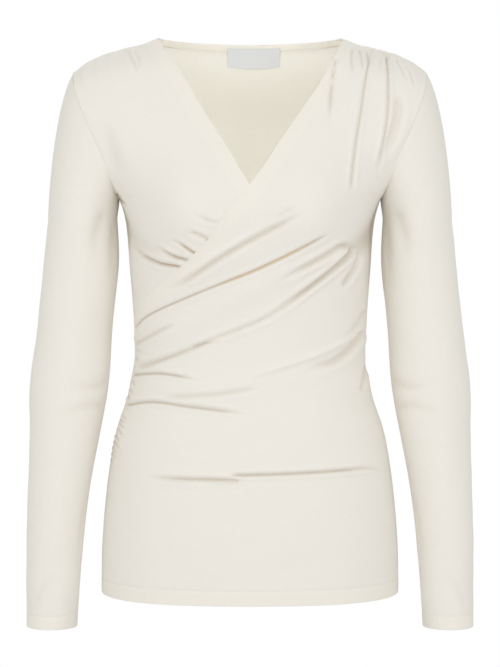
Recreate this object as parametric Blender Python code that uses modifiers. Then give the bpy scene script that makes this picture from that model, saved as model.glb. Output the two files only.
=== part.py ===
"""A long-sleeved wrap top in soft jersey, filled out as it is when worn, with nobody in it.

Seven pieces: the over front, which crosses from the left shoulder and is gathered into the
right side seam, the under front below it, the back, two set-in sleeves, the band round the back
of the neck and a blank label. All sizes are in millimetres until the last step. +Z is up, the
front faces -Y, +X is the wearer's left, and the origin is midway between the two neck points,
where the shoulders carry the garment.
"""

import math

import bmesh
import bpy
import numpy as np

MM = 0.001
FRONT, BACK = -1, 1
RIGHT, LEFT = -1, 1

# ---- driving sizes
WALL = 1.2  # jersey, as a wall
BAND_WALL = 1.8  # the neck band is folded double
SEAM_GAP = 0.3  # between two pieces at a seam
SHOULDER_SETBACK = 1.35  # of the panels' top rows, so that their inner edges keep the seam gap
LAYER_DROP = 2.6  # how far the under front lies below the over front
HEM = -645.0  # below the neck points
UNDER_HEM = -372.0  # where the under front ends, out of sight
UNDERARM = -187.0
CUFF = -681.5
SIDE_Y = 5.0  # the plane of the side seams
HALF_PANEL = 235.0  # from the centre to a side seam, along the cloth
SHOULDER_Y = 4.0  # the plane of the shoulder seams
BACK_NECK = {"half_width": 110.5, "behind": 60.0, "below": 14.5}  # the back neck seam
BAND_TOP = {"half_width": 104.5, "behind": 54.3, "ends": 0.4, "below": 5.8, "reach": 1.6}
LABEL = {"wide": 64.0, "tall": 22.5, "wall": 1.0, "shift": 4.5, "sewn_at": 0.54, "lean": 7.0}

# ---- sections of the trunk, from the hem up
SIDE_COLUMNS = ("height", "half_width")
SIDE = [
    (-645, 173.5),
    (-600, 173.2),
    (-560, 170.8),
    (-520, 166.8),
    (-480, 160.9),
    (-450, 154.1),
    (-420, 143.9),
    (-395, 137.9),
    (-370, 133.4),
    (-345, 134.2),
    (-310, 136.3),
    (-270, 139.5),
    (-230, 142.4),
    (-205, 146.1),
    (-187, 151.5),
]
CENTRE_COLUMNS = ("height", "front_y", "back_y")
CENTRE = [
    (-645, -112, 118),
    (-600, -112, 117),
    (-550, -110, 113),
    (-500, -106, 104),
    (-450, -100, 90),
    (-400, -92, 76),
    (-360, -89, 70),
    (-310, -92, 76),
    (-260, -99, 88),
    (-220, -104, 95),
    (-187, -105, 98),
    (-140, -94, 98),
    (-93, -74, 92),
    (-50, -50, 82),
    (-20, -26, 72),
    (0, 4, 64),
]
# the armhole, from the underarm to the end of the shoulder seam
ARMHOLE_COLUMNS = ("share", "out", "front_y", "back_y", "height")
ARMHOLE = [
    (0.00, 151.5, 5, 5, -187),
    (0.12, 155.0, -22, 32, -180),
    (0.25, 161.5, -42, 50, -162),
    (0.40, 171.5, -51, 57, -134),
    (0.55, 183.5, -49, 56, -106),
    (0.70, 195.0, -39, 46, -79),
    (0.85, 202.5, -21, 28, -56),
    (1.00, 205.0, 4, 4, -41),
]
# the shoulder line, from the neck out: share of the half shoulder, share of its rise
SHOULDER_COLUMNS = ("out", "rise")
SHOULDER = [
    (0.000, 1.00),
    (0.512, 1.00),
    (0.610, 0.80),
    (0.688, 0.72),
    (0.829, 0.52),
    (0.917, 0.32),
    (0.971, 0.12),
    (1.000, 0.00),
]
ARMHOLE_STEPS = 12  # rows of every panel between underarm and shoulder, and half a sleeve's columns

# ---- bust fullness of a general figure: one soft rise each side, in the front view
BUST = {"out": 74, "height": -203, "wide": 50, "up": 62, "down": 46, "rise": 19}

# ---- the crossing edges: the over front's runs from the right side seam to the left neck point,
# and the under front's from the left side seam to the right neck point
EDGE_COLUMNS = ("x", "height")
OVER_EDGE = [
    (-134.6, -323.0),
    (-115.8, -295.0),
    (-78.3, -262.4),
    (-61.1, -245.1),
    (-46.8, -230.3),
    (-30.2, -205.7),
    (-16.2, -187.9),
    (-0.7, -169.8),
    (25.3, -132.0),
    (52.5, -92.3),
    (79.1, -53.3),
    (108.0, -2.0),
]
UNDER_EDGE = [
    (134.6, -323.0),
    (115.8, -297.0),
    (78.0, -266.0),
    (46.8, -236.0),
    (24.0, -210.0),
    (10.6, -189.0),
    (-0.6, -170.1),
    (-11.8, -151.1),
    (-34.3, -115.1),
    (-57.2, -77.5),
    (-80.4, -40.5),
    (-98.2, -16.7),
    (-108.0, -2.0),
]

# ---- panels: each band of rows runs from a place on the panel's right edge to one on its left.
# A place is a height on the side seam, a share of the crossing edge, or a share of the armhole.
BAND_COLUMNS = ("rows", "from_kind", "from_low", "from_high", "to_kind", "to_low", "to_high")
OVER_COLUMNS = 27
OVER_BANDS = [
    (8, "seam", -645, -487, "seam", -645, -520),
    (24, "seam", -487, -425, "seam", -520, -440),
    (17, "seam", -425, -323, "seam", -440, -265),
    (12, "edge", 0.0, 0.5, "seam", -265, -187),
    (12, "edge", 0.5, 1.0, "armhole", 0.0, 1.0),
]
UNDER_COLUMNS = 22
UNDER_BANDS = [
    (3, "seam", UNDER_HEM, -340, "seam", UNDER_HEM + 12, -323),
    (12, "seam", -340, -187, "edge", 0.0, 0.5),
    (12, "armhole", 0.0, 1.0, "edge", 0.5, 1.0),
]
BACK_BANDS = [
    (3, "seam", -645, -500, "seam", -645, -500),
    (9, "seam", -500, -300, "seam", -500, -300),
    (4, "seam", -300, -187, "seam", -300, -187),
    (12, "armhole", 0.0, 1.0, "armhole", 0.0, 1.0),
]
BACK_SHOULDER_COLUMNS, BACK_NECK_COLUMNS = 5, 12

# ---- folds, in the front view: from one end to the other, a sideways bow, a half width, how far
# out of the cloth (in, if negative), and the share of the length over which each end fades
FOLD_COLUMNS = ("x0", "z0", "x1", "z1", "bow", "wide", "rise", "fade0", "fade1")
OVER_FOLDS = [
    # drawn from the gathers in the right side seam up to the left bust
    (-128, -300, 66, -194, -9, 7.0, -1.7, 0.30, 0.45),
    (-133, -334, 96, -222, 6, 6.5, -3.0, 0.05, 0.45),
    (-131, -352, -80, -325, 2, 5.0, -1.3, 0.10, 0.60),
    (10, -284, 100, -232, 2, 8.0, -1.6, 0.40, 0.50),
    (-131, -380, 118, -236, -10, 8.0, -3.2, 0.05, 0.40),
    (-131, -388, -38, -396, 7, 4.0, -2.2, 0.05, 0.60),
    (-60, -392, 134, -333, -9, 9.0, -1.8, 0.50, 0.25),
    (-137, -413, 36, -394, -4, 7.0, -1.3, 0.10, 0.60),
    (-139, -423, 2, -431, 9, 4.5, -2.4, 0.05, 0.60),
    # the broad rolls between them
    (-126, -312, 84, -206, -2, 9.0, 1.6, 0.20, 0.50),
    (-128, -352, 108, -232, -4, 13.0, 2.4, 0.20, 0.50),
    (-128, -402, 60, -386, 2, 8.0, 1.4, 0.20, 0.60),
    # across the stomach
    (-126, -496, 12, -501, -3, 6.5, -1.5, 0.40, 0.40),
    (-34, -495, 166, -497, 4, 6.0, -1.6, 0.35, 0.30),
    # short drags at the left waist and under the left bust
    (132, -366, 126, -410, 0, 5.0, -1.5, 0.40, 0.50),
    (116, -252, 101, -292, 0, 6.0, -1.6, 0.40, 0.50),
    # long pleats from the left shoulder
    (137, -14, 115, -170, 4, 4.5, -2.2, 0.05, 0.50),
    (160, -22, 143, -156, 6, 4.5, -2.2, 0.05, 0.50),
    (96, -26, 92, -92, 2, 5.0, -1.2, 0.20, 0.60),
    (172, -76, 150, -166, 3, 9.0, -2.4, 0.40, 0.40),
]
UNDER_FOLDS = [
    # caught under the crossing edge
    (-34, -213, -62, -197, 1, 3.5, -1.5, 0.05, 0.60),
    (-45, -233, -66, -222, 1, 3.5, -1.6, 0.05, 0.60),
    (-59, -247, -88, -228, 1, 4.0, -2.2, 0.05, 0.60),
    (-69, -257, -103, -237, 2, 4.5, -2.2, 0.05, 0.60),
    (-77, -264, -134, -243, 5, 5.0, -2.4, 0.05, 0.45),
    # the hollow beside the right armhole
    (-168, -84, -150, -166, -3, 9.0, -2.2, 0.40, 0.40),
]
BACK_FOLDS = [
    (-128, -344, 40, -372, 8, 9.0, -2.0, 0.25, 0.50),
    (132, -352, -30, -392, -8, 9.0, -2.0, 0.25, 0.50),
    (-120, -398, 60, -414, 6, 8.0, -1.6, 0.30, 0.50),
    (150, -160, 60, -232, 6, 10.0, -1.8, 0.35, 0.55),
    (-150, -160, -60, -232, -6, 10.0, -1.8, 0.35, 0.55),
]
# gathers along a seam: how many, how far out, and how far into the panel they reach
GATHER_COLUMNS = ("count", "rise", "reach")
LEFT_SHOULDER_GATHERS = (9, 1.5, 62)
RIGHT_SHOULDER_GATHERS = (6, 0.9, 42)
SIDE_PUCKERS = (8, 1.1, 16)
PUCKER_SPAN = (-487, -425)  # the heights between which the right side seam is puckered
PUCKER_SEAM = 150  # how far out that seam is there
PROUD, LEAST_PROUD = 1.6, 0.3  # how far the over front stands off at the waist, and at least

# ---- sections of a sleeve, from below the underarm to the cuff
SLEEVE_COLUMNS = ("height", "out", "centre_y", "half_x", "half_y")
SLEEVE = [
    (-212, 194.3, 3, 40.1, 49.0),
    (-235, 194.9, 2, 42.2, 46.5),
    (-262, 196.0, 1, 43.5, 45.0),
    (-306, 200.6, 0, 43.6, 44.0),
    (-353, 205.5, -1, 44.3, 44.0),
    (-400, 210.2, -3, 45.8, 44.5),
    (-437, 213.4, -6, 43.0, 43.0),
    (-474, 217.1, -10, 39.5, 40.5),
    (-511, 221.0, -14, 36.6, 38.0),
    (-549, 224.3, -18, 34.5, 35.5),
    (-595, 227.0, -22, 32.4, 33.0),
    (-642, 228.8, -25, 30.6, 31.0),
    (-684, 230.1, -27, 29.1, 30.0),
]
CAP_ROWS, SLEEVE_ROWS = 7, 12
CAP_REACH = {"top": 104, "underarm": 18}  # how strongly the cap leaves the armhole
ARMHOLE_EASE = {"top": 0.7, "underarm": 2.1}  # how far outside the armhole a sleeve starts


# ---------------------------------------------------------------- curves and ramps


def spline(knots, values):
    """A natural cubic through the values, as a function that holds its ends."""
    x, v = np.asarray(knots, float), np.asarray(values, float)
    n, h = len(x), np.diff(x)
    a, r = np.eye(n), np.zeros(n)
    for i in range(1, n - 1):
        a[i, i - 1 : i + 2] = h[i - 1], 2 * (h[i - 1] + h[i]), h[i]
        r[i] = 6 * ((v[i + 1] - v[i]) / h[i] - (v[i] - v[i - 1]) / h[i - 1])
    bend = np.linalg.solve(a, r)

    def read(at):
        at = np.clip(np.asarray(at, float), x[0], x[-1])
        i = np.clip(np.searchsorted(x, at) - 1, 0, n - 2)
        b = (at - x[i]) / h[i]
        c = 1 - b
        curve = ((c**3 - c) * bend[i] + (b**3 - b) * bend[i + 1]) * h[i] ** 2 / 6
        return c * v[i] + b * v[i + 1] + curve

    return read


def splines(table, columns):
    """One spline for each column after the first, by name."""
    rows = sorted(table)
    knots = [row[0] for row in rows]
    return {name: spline(knots, [row[i] for row in rows]) for i, name in enumerate(columns) if i}


def ramp(a):
    """0 up to 0, 1 from 1, and smooth between."""
    a = np.clip(a, 0, 1)
    return a * a * (3 - 2 * a)


side = splines(SIDE, SIDE_COLUMNS)
centre = splines(CENTRE, CENTRE_COLUMNS)
armhole = splines(ARMHOLE, ARMHOLE_COLUMNS)
sleeve = splines(SLEEVE, SLEEVE_COLUMNS)
FACE_Y = {FRONT: "front_y", BACK: "back_y"}
T_UNDERARM = (UNDERARM - HEM) / -HEM
ARMHOLE_TOP = ARMHOLE[-1][1]  # how far out the shoulder seams end
SHOULDER_SWING = math.radians(60)  # how far round the trunk a row reaches at the shoulder
SHOULDER_SIN = math.sin(SHOULDER_SWING)


# ---------------------------------------------------------------- the form of the trunk


def rows_at(t):
    """Where the row at t ends on the side or armhole, and how wide it swings round the trunk."""
    low = t < T_UNDERARM
    arm = np.clip((t - T_UNDERARM) / (1 - T_UNDERARM), 0, 1)
    height = HEM * (1 - np.minimum(t, T_UNDERARM))
    out = np.where(low, side["half_width"](height), armhole["out"](arm))
    end_z = np.where(low, height, armhole["height"](arm))
    swing = math.pi / 2 + (SHOULDER_SWING - math.pi / 2) * ramp(arm / 0.35)
    return low, arm, height, out, end_z, swing


def roundness(angle):
    """A trunk section's depth at this angle from its centre: an ellipse, a little squarer."""
    return np.cos(angle) * (1 + 0.22 * np.sin(angle) ** 2)


def neck_curve(x, soft=0.0):
    """How far round the back neck this x is: 1 at the centre back and 0 beyond the neck points,
    with the corner there softened."""
    inside = 1 - (x / BACK_NECK["half_width"]) ** 2
    return np.sqrt((inside + np.sqrt(inside**2 + soft**2)) / 2)


def form(face, s, t):
    """A point of the front or back: s is -1 at the right side and 1 at the left, t is 0 at the
    hem and 1 at the shoulder."""
    s, t = np.broadcast_arrays(np.asarray(s, float), np.asarray(t, float))
    low, arm, height, out, end_z, swing = rows_at(t)
    shoulder = np.array(SHOULDER)
    mid_z = np.where(low, height, UNDERARM * (1 - arm))
    mid_y = centre[FACE_Y[face]](mid_z)
    end_y = np.where(low, SIDE_Y, armhole[FACE_Y[face]](arm))
    r = np.sin(s * swing) / np.sin(swing)
    x = out * r
    seam_rise = np.interp(np.abs(r), shoulder[:, 0], shoulder[:, 1])
    z = end_z + (mid_z - end_z) * ((1 - arm) * (1 - r**2) + arm * seam_rise)
    round_in, round_end = roundness(s * swing), roundness(swing)
    y = end_y + (mid_y - end_y) * (round_in - round_end) / (1 - round_end)
    if face == BACK:
        neck, near = neck_curve(x, 1.5 * (1 - arm) ** 2), ramp((arm - 0.45) / 0.55)
        y = y * (1 - near) + (SHOULDER_Y + BACK_NECK["behind"] * neck) * near
        z = z - BACK_NECK["below"] * neck * arm**2
    else:
        tall = np.where(z > BUST["height"], BUST["up"], BUST["down"])
        across = (np.abs(x) - BUST["out"]) / BUST["wide"]
        y = y - BUST["rise"] * np.exp(-(across**2) - ((z - BUST["height"]) / tall) ** 2)
    return np.stack([x, y, z], -1)


def outward(face, s, t):
    """The direction out of the cloth."""
    step = 1e-3
    along_s = form(face, s + step, t) - form(face, s - step, t)
    along_t = form(face, s, np.minimum(t + step, 1)) - form(face, s, np.maximum(t - step, 0))
    normal = np.cross(along_s, along_t) * -face
    return normal / np.linalg.norm(normal, axis=-1, keepdims=True)


def locate(x, z):
    """The s and t of a point of the front, given where it is in the front view."""
    x, z = np.broadcast_arrays(np.asarray(x, float), np.asarray(z, float))
    below, above = np.zeros(x.shape), np.ones(x.shape)
    for _ in range(40):
        t = (below + above) / 2
        _, _, _, out, _, swing = rows_at(t)
        s = np.arcsin(np.clip(x / out * np.sin(swing), -1, 1)) / swing
        under = form(FRONT, s, t)[..., 2] < z
        below, above = np.where(under, t, below), np.where(under, above, t)
    return s, t


def along_edge(edge, share):
    """The x and z of points at these shares of a crossing edge's length round the trunk."""
    knots, walk = np.linspace(0, 1, len(edge)), np.linspace(0, 1, 300)
    x, z = (spline(knots, column)(walk) for column in zip(*edge))
    steps = np.linalg.norm(np.diff(form(FRONT, *locate(x, z)), axis=0), axis=1)
    length = np.append(0, np.cumsum(steps)) / steps.sum()
    return np.interp(share, length, x), np.interp(share, length, z)


# ---------------------------------------------------------------- folds and gathers


def folds(table, x, z):
    """How far a table of folds moves the cloth out, at points of the front view."""
    moved = np.zeros(np.shape(x))
    for x0, z0, x1, z1, bow, wide, rise, fade0, fade1 in table:
        length = math.hypot(x1 - x0, z1 - z0)
        ax, az = (x1 - x0) / length, (z1 - z0) / length
        along = ((x - x0) * ax + (z - z0) * az) / length
        off = (z - z0) * ax - (x - x0) * az - 4 * bow * along * (1 - along)
        held = ramp(along / fade0) * ramp((1 - along) / fade1)
        moved += rise * np.exp(-((off / wide) ** 2)) * held
    return moved


def gathers(row, across, into):
    """Waves along a seam: across runs 0 to 1 along it, and into is the distance from it."""
    count, rise, reach = row
    return rise * np.cos(2 * math.pi * count * across) * np.exp(-((into / reach) ** 2))


def under_the_wrap(x, z):
    """1 where the under front lies below the over front, 0 well outside the crossing edge."""
    edge_x, edge_z = along_edge(OVER_EDGE, np.linspace(0, 1, 200))
    beside = x - np.interp(z, edge_z, edge_x)
    return np.where(z < OVER_EDGE[0][1], 1.0, ramp((beside + 18) / 15))


# ---------------------------------------------------------------- panels


def place(kind, value, hand, edge):
    """The s and t of a place on a panel's side: on the side seam, armhole or crossing edge."""
    value = np.asarray(value, float)
    if kind == "edge":
        return locate(*along_edge(edge, value))
    s = np.full(value.shape, hand * (1 - SEAM_GAP / HALF_PANEL))
    if kind == "seam":
        return s, 1 - value / HEM
    return s, T_UNDERARM + value * (1 - T_UNDERARM)


def lattice(bands, across, edge=None):
    """The s and t of every point of a panel, row by row from the bottom."""
    rows = []
    for i, (count, from_kind, from_low, from_high, to_kind, to_low, to_high) in enumerate(bands):
        share = np.linspace(0, 1, count + 1)[0 if i == 0 else 1 :]
        a = place(from_kind, from_low + (from_high - from_low) * share, RIGHT, edge)
        b = place(to_kind, to_low + (to_high - to_low) * share, LEFT, edge)
        rows.append([a, b])
    ends = [[np.concatenate([row[k][j] for row in rows]) for j in (0, 1)] for k in (0, 1)]
    (s0, t0), (s1, t1) = ends
    s = s0[:, None] + (s1 - s0)[:, None] * across
    t = t0[:, None] + (t1 - t0)[:, None] * across
    return s, np.minimum(t, 1 - SHOULDER_SETBACK / -HEM)


def over_front():
    across = np.linspace(0, 1, OVER_COLUMNS + 1)[None, :]
    s, t = lattice(OVER_BANDS, across, OVER_EDGE)
    base = form(FRONT, s, t)
    x, z = base[..., 0], base[..., 2]
    # over the under front the cloth stands a little proud, so that its creases clear it
    waist = ramp((z + 430) / 40) * ramp((-205 - z) / 60) * ramp((150 - np.abs(x)) / 30)
    moved = PROUD * waist + folds(OVER_FOLDS, x, z)
    moved += gathers(LEFT_SHOULDER_GATHERS, across, HEM * (t - 1))
    low, high = PUCKER_SPAN
    among_puckers = ramp((z - low + 5) / 10) * ramp((high + 5 - z) / 10)
    moved += gathers(SIDE_PUCKERS, (z - low) / (high - low), x + PUCKER_SEAM) * among_puckers
    over_both = z > UNDER_HEM - 4
    moved = np.where(over_both, np.maximum(moved, LEAST_PROUD), moved)
    cloth("over_front", base + moved[..., None] * outward(FRONT, s, t), "jersey")


def under_front():
    across = np.linspace(0, 1, UNDER_COLUMNS + 1)[None, :]
    s, t = lattice(UNDER_BANDS, across, UNDER_EDGE)
    base = form(FRONT, s, t)
    x, z = base[..., 0], base[..., 2]
    below = under_the_wrap(x, z)
    moved = folds(UNDER_FOLDS, x, z) * (1 - below)
    moved += gathers(RIGHT_SHOULDER_GATHERS, across, HEM * (t - 1))
    moved -= LAYER_DROP * below
    cloth("under_front", base + moved[..., None] * outward(FRONT, s, t), "jersey")


def back_across():
    """Shares of a back row, set so that the top row has a point at each neck point and even
    steps round the neck."""
    neck = BACK_NECK["half_width"]
    neck_x = neck * np.sin(np.radians(np.linspace(-90, 90, BACK_NECK_COLUMNS + 1)))
    outer_x = np.linspace(-ARMHOLE_TOP, -neck, BACK_SHOULDER_COLUMNS + 1)[:-1]
    x = np.concatenate([outer_x, neck_x, -outer_x[::-1]])
    s = np.arcsin(x / ARMHOLE_TOP * SHOULDER_SIN) / SHOULDER_SWING
    return (s + 1) / 2


def back():
    s, t = lattice(BACK_BANDS, back_across()[None, :])
    base = form(BACK, s, t)
    moved = folds(BACK_FOLDS, base[..., 0], base[..., 2])
    cloth("back", base + moved[..., None] * outward(BACK, s, t), "jersey")


def band_point(turn, share):
    """A point of the band: turn runs round the neck, and share from the back's seam upward."""
    across, around = np.sin(turn), np.cos(turn)
    s = np.arcsin(BACK_NECK["half_width"] * across / ARMHOLE_TOP * SHOULDER_SIN) / SHOULDER_SWING
    low = form(BACK, s, 1.0)
    drop = BAND_TOP["ends"] + (BAND_TOP["below"] - BAND_TOP["ends"]) * around
    high = (BAND_TOP["half_width"] * across, SHOULDER_Y + BAND_TOP["behind"] * around, -drop)
    point = low + (np.stack(high, -1) - low) * share
    point[..., 1] -= BAND_TOP["reach"] * ramp(1 - around / 0.2)
    return point


def neck_band():
    """A folded strip that stands on the back neck seam, from neck point to neck point."""
    turn = np.radians(np.linspace(-90, 90, BACK_NECK_COLUMNS + 1))
    rows = [band_point(turn, share) for share in (0.0, 0.5, 1)]
    cloth("neck_band", np.array(rows), "jersey", BAND_WALL)


def neck_label():
    """A blank woven label inside the centre back, sewn to the band along its top."""
    x = LABEL["shift"] + np.linspace(-LABEL["wide"] / 2, LABEL["wide"] / 2, 9)
    turn = np.arcsin(x / BACK_NECK["half_width"])
    rise = band_point(0.0, 1.0) - band_point(0.0, 0.0)
    inward = np.cross((1, 0, 0), rise) / np.linalg.norm(rise)
    top = band_point(turn, LABEL["sewn_at"])
    top = top + inward * (BAND_WALL / 2 + LABEL["wall"] / 2 + 3 * SEAM_GAP)
    lean = math.radians(LABEL["lean"])
    down = LABEL["tall"] * np.array([0, math.sin(lean), -math.cos(lean)])
    rows = [top + down * share for share in (1, 0.67, 0.33, 0)]
    cloth("neck_label", np.array(rows), "label", LABEL["wall"])


# ---------------------------------------------------------------- sleeves


def armhole_loop(hand):
    """The armhole, from the underarm round the front to the shoulder and down the back, moved
    out to where the sleeve starts."""
    share = np.linspace(0, 1, ARMHOLE_STEPS + 1)
    share = np.concatenate([share, share[-2:0:-1]])
    face_y = [FACE_Y[FRONT]] * (ARMHOLE_STEPS + 1) + [FACE_Y[BACK]] * (ARMHOLE_STEPS - 1)
    y = np.array([armhole[name](a) for name, a in zip(face_y, share)])
    lift = ramp(share)
    ease = ARMHOLE_EASE["underarm"] * (1 - lift) + ARMHOLE_EASE["top"] * lift
    x, z = armhole["out"](share) + ease, armhole["height"](share)
    return np.stack([hand * x, y, z], -1), share


def sleeve_ring(hand, height, turn):
    out, half_x = sleeve["out"](height), sleeve["half_x"](height)
    centre_y, half_y = sleeve["centre_y"](height), sleeve["half_y"](height)
    x = out - half_x * np.cos(turn)
    y = centre_y - half_y * np.sin(turn)
    return np.stack([hand * x, y, np.full(turn.shape, float(height))], -1)


def sleeve_tube(name, hand):
    loop, share = armhole_loop(hand)
    turn = np.linspace(0, 2 * math.pi, 2 * ARMHOLE_STEPS + 1)[:-1]
    first = SLEEVE[0][0]
    ring = sleeve_ring(hand, first, turn)
    reach = CAP_REACH["underarm"] + (CAP_REACH["top"] - CAP_REACH["underarm"]) * share
    leave = np.stack([hand * 0.58 * share, 0 * share, -1 + 0.19 * share], -1)
    leave *= (reach / np.linalg.norm(leave, axis=-1))[:, None]
    arrive = np.array([0, 0, -1]) * (reach * 1.1)[:, None]
    rows = []
    for q in np.linspace(0, 1, CAP_ROWS + 1):
        a, b = 2 * q**3 - 3 * q**2 + 1, 3 * q**2 - 2 * q**3
        c, d = q**3 - 2 * q**2 + q, q**3 - q**2
        rows.append(a * loop + b * ring + c * leave + d * arrive)
    for height in np.linspace(first, CUFF, SLEEVE_ROWS + 1)[1:]:
        rows.append(sleeve_ring(hand, height, turn))
    cloth(name, np.array(rows), "jersey", closed=True)


# ---------------------------------------------------------------- solids

MATERIALS = {
    "jersey": {"colour": (0.84, 0.80, 0.72, 1), "roughness": 0.75},
    "label": {"colour": (0.80, 0.80, 0.82, 1), "roughness": 0.45},
}


def material(name):
    found = bpy.data.materials.get(name)
    if found:
        return found
    made = bpy.data.materials.new(name)
    made.use_nodes = True
    shader = made.node_tree.nodes["Principled BSDF"]
    shader.inputs["Base Color"].default_value = MATERIALS[name]["colour"]
    shader.inputs["Roughness"].default_value = MATERIALS[name]["roughness"]
    shader.inputs["Metallic"].default_value = 0.0
    return made


def cloth(name, points, finish, wall=WALL, closed=False):
    """A wall of cloth: a flat grid moved onto the rows of points, given its thickness by
    Solidify. A closed one is rolled up into a tube."""
    rows, columns = points.shape[:2]
    if closed:
        points = np.concatenate([points, points[:, :1]], axis=1)
        columns += 1
    bm = bmesh.new()
    bmesh.ops.create_grid(bm, x_segments=columns - 1, y_segments=rows - 1, size=1)
    for vert, point in zip(bm.verts, points.reshape(-1, 3) * MM):
        vert.co = point
    if closed:
        bmesh.ops.remove_doubles(bm, verts=bm.verts, dist=1e-6)
    mesh = bpy.data.meshes.new(name)
    bm.to_mesh(mesh)
    bm.free()
    mesh.shade_smooth()
    obj = bpy.data.objects.new(name, mesh)
    pieces.objects.link(obj)
    mesh.materials.append(material(finish))
    solid = obj.modifiers.new("wall", "SOLIDIFY")
    solid.thickness = wall * MM
    solid.offset = 0
    solid.use_quality_normals = True
    return obj


for old in list(bpy.data.objects):
    bpy.data.objects.remove(old)
pieces = bpy.data.collections.new("wrap_top")
bpy.context.scene.collection.children.link(pieces)

over_front()
under_front()
back()
neck_band()
neck_label()
sleeve_tube("sleeve_left", LEFT)
sleeve_tube("sleeve_right", RIGHT)
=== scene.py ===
# %% [markdown]
# # A wrap top in soft jersey
#
# A long-sleeved top in cream viscose jersey, filled out as it is when worn, with nobody in it.
# Its left front laps over the right one and is gathered into the right side seam, so fine
# creases run from that seam up to the left bust, and pleats hang from the left shoulder.
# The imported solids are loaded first. They fix every size. The cells below make each cut piece
# again as a thin sheet with its edges turned in, its creases, its stitching and its finish.

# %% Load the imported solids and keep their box
import math

import bpy
import numpy as np
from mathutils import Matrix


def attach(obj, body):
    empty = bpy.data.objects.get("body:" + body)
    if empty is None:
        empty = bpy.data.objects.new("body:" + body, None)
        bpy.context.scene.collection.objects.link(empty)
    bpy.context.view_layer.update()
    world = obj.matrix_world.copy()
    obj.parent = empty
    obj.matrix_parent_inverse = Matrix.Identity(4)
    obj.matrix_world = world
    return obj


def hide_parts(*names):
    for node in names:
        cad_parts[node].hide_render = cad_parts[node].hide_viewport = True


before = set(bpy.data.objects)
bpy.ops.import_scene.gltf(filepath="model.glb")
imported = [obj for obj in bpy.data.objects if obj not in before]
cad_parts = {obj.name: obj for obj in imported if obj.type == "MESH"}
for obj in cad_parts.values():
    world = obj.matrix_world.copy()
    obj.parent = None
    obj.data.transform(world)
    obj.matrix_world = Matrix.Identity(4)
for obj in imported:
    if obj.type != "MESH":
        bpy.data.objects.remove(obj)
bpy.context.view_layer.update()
print("nodes:", ", ".join(sorted(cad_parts)))

# %% [markdown]
# ## The form under the cloth
#
# Cloth takes its form from what it lies on, so the pieces share one description of the worn
# trunk, and one of a sleeve. A trunk could be sculpted, but a few measured sections joined by
# smooth curves are easier to correct and are the same for the front, the back and the seams.
# Sizes are in millimetres. +Z is up, the front faces -Y and +X is the wearer's left.

# %% Sizes of the cut pieces
MM = 0.001
FRONT, BACK = -1, 1
RIGHT, LEFT = -1, 1
HEM = -645.0  # below the neck points
UNDER_HEM = -372.0  # where the under front ends, out of sight
UNDERARM = -187.0
CUFF = -681.5
SIDE_Y = 5.0  # the plane of the side seams
SHOULDER_Y = 4.0  # the plane of the shoulder seams
HALF_PANEL = 235.0  # from the centre to a side seam, along the cloth
BACK_NECK = {"half_width": 110.5, "behind": 60.0, "below": 14.5}
BAND_TOP = {"half_width": 104.5, "behind": 57.5, "ends": 0.8, "below": 5.8, "reach": 1.6}
BAND_SEAM = {"ends": 8.0, "below": 15.0}  # the band's lower edge, below the neck points
LABEL = {"wide": 64.0, "tall": 22.5, "shift": 4.5, "sewn_at": 0.54, "lean": 10.0}

# %% Sections of the trunk, the armhole and the shoulder line
SIDE = [  # height, half width
    (-645, 173.5), (-600, 173.2), (-560, 170.8), (-520, 166.8), (-480, 160.9),
    (-450, 154.1), (-420, 143.9), (-395, 137.9), (-370, 133.4), (-345, 134.2),
    (-310, 136.3), (-270, 139.5), (-230, 142.4), (-205, 146.1), (-187, 151.5),
]  # fmt: skip
CENTRE = [  # height, front y, back y
    (-645, -112, 118), (-600, -112, 117), (-550, -110, 113), (-500, -106, 104),
    (-450, -100, 90), (-400, -92, 76), (-360, -89, 70), (-310, -92, 76),
    (-260, -99, 88), (-220, -104, 95), (-187, -105, 98), (-140, -94, 98),
    (-93, -74, 92), (-50, -50, 82), (-20, -26, 72), (0, 4, 64),
]  # fmt: skip
ARMHOLE = [  # share of the way from the underarm to the shoulder, out, front y, back y, height
    (0.00, 151.5, 5, 5, -187),
    (0.12, 155.0, -22, 32, -180),
    (0.25, 161.5, -42, 50, -162),
    (0.40, 171.5, -51, 57, -134),
    (0.55, 183.5, -49, 56, -106),
    (0.70, 195.0, -39, 46, -79),
    (0.85, 202.5, -21, 28, -56),
    (1.00, 205.0, 4, 4, -41),
]
SHOULDER = [  # share of the half shoulder from the neck out, share of the shoulder's rise
    (0.000, 1.00), (0.512, 1.00), (0.610, 0.80), (0.688, 0.72),
    (0.829, 0.52), (0.917, 0.32), (0.971, 0.12), (1.000, 0.00),
]  # fmt: skip
BUST = {"out": 74, "height": -203, "wide": 50, "up": 62, "down": 46, "rise": 19}
OVER_EDGE = [  # x, height along the over front's crossing edge
    (-136.2, -331.0), (-134.6, -323.0), (-115.8, -295.0), (-78.3, -262.4), (-61.1, -245.1),
    (-46.8, -230.3), (-30.2, -205.7), (-16.2, -187.9), (-0.7, -169.8),
    (25.3, -132.0), (52.5, -92.3), (79.1, -53.3), (107.6, -1.4),
]  # fmt: skip
UNDER_EDGE = [  # x, height along the under front's crossing edge
    (136.2, -331.0), (134.6, -323.0), (115.8, -297.0), (78.0, -266.0), (46.8, -236.0),
    (24.0, -210.0), (10.6, -189.0), (-0.6, -170.1), (-11.8, -151.1),
    (-34.3, -115.1), (-57.2, -77.5), (-79.4, -40.5), (-96.4, -16.7), (-106.2, -0.8),
]  # fmt: skip
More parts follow.
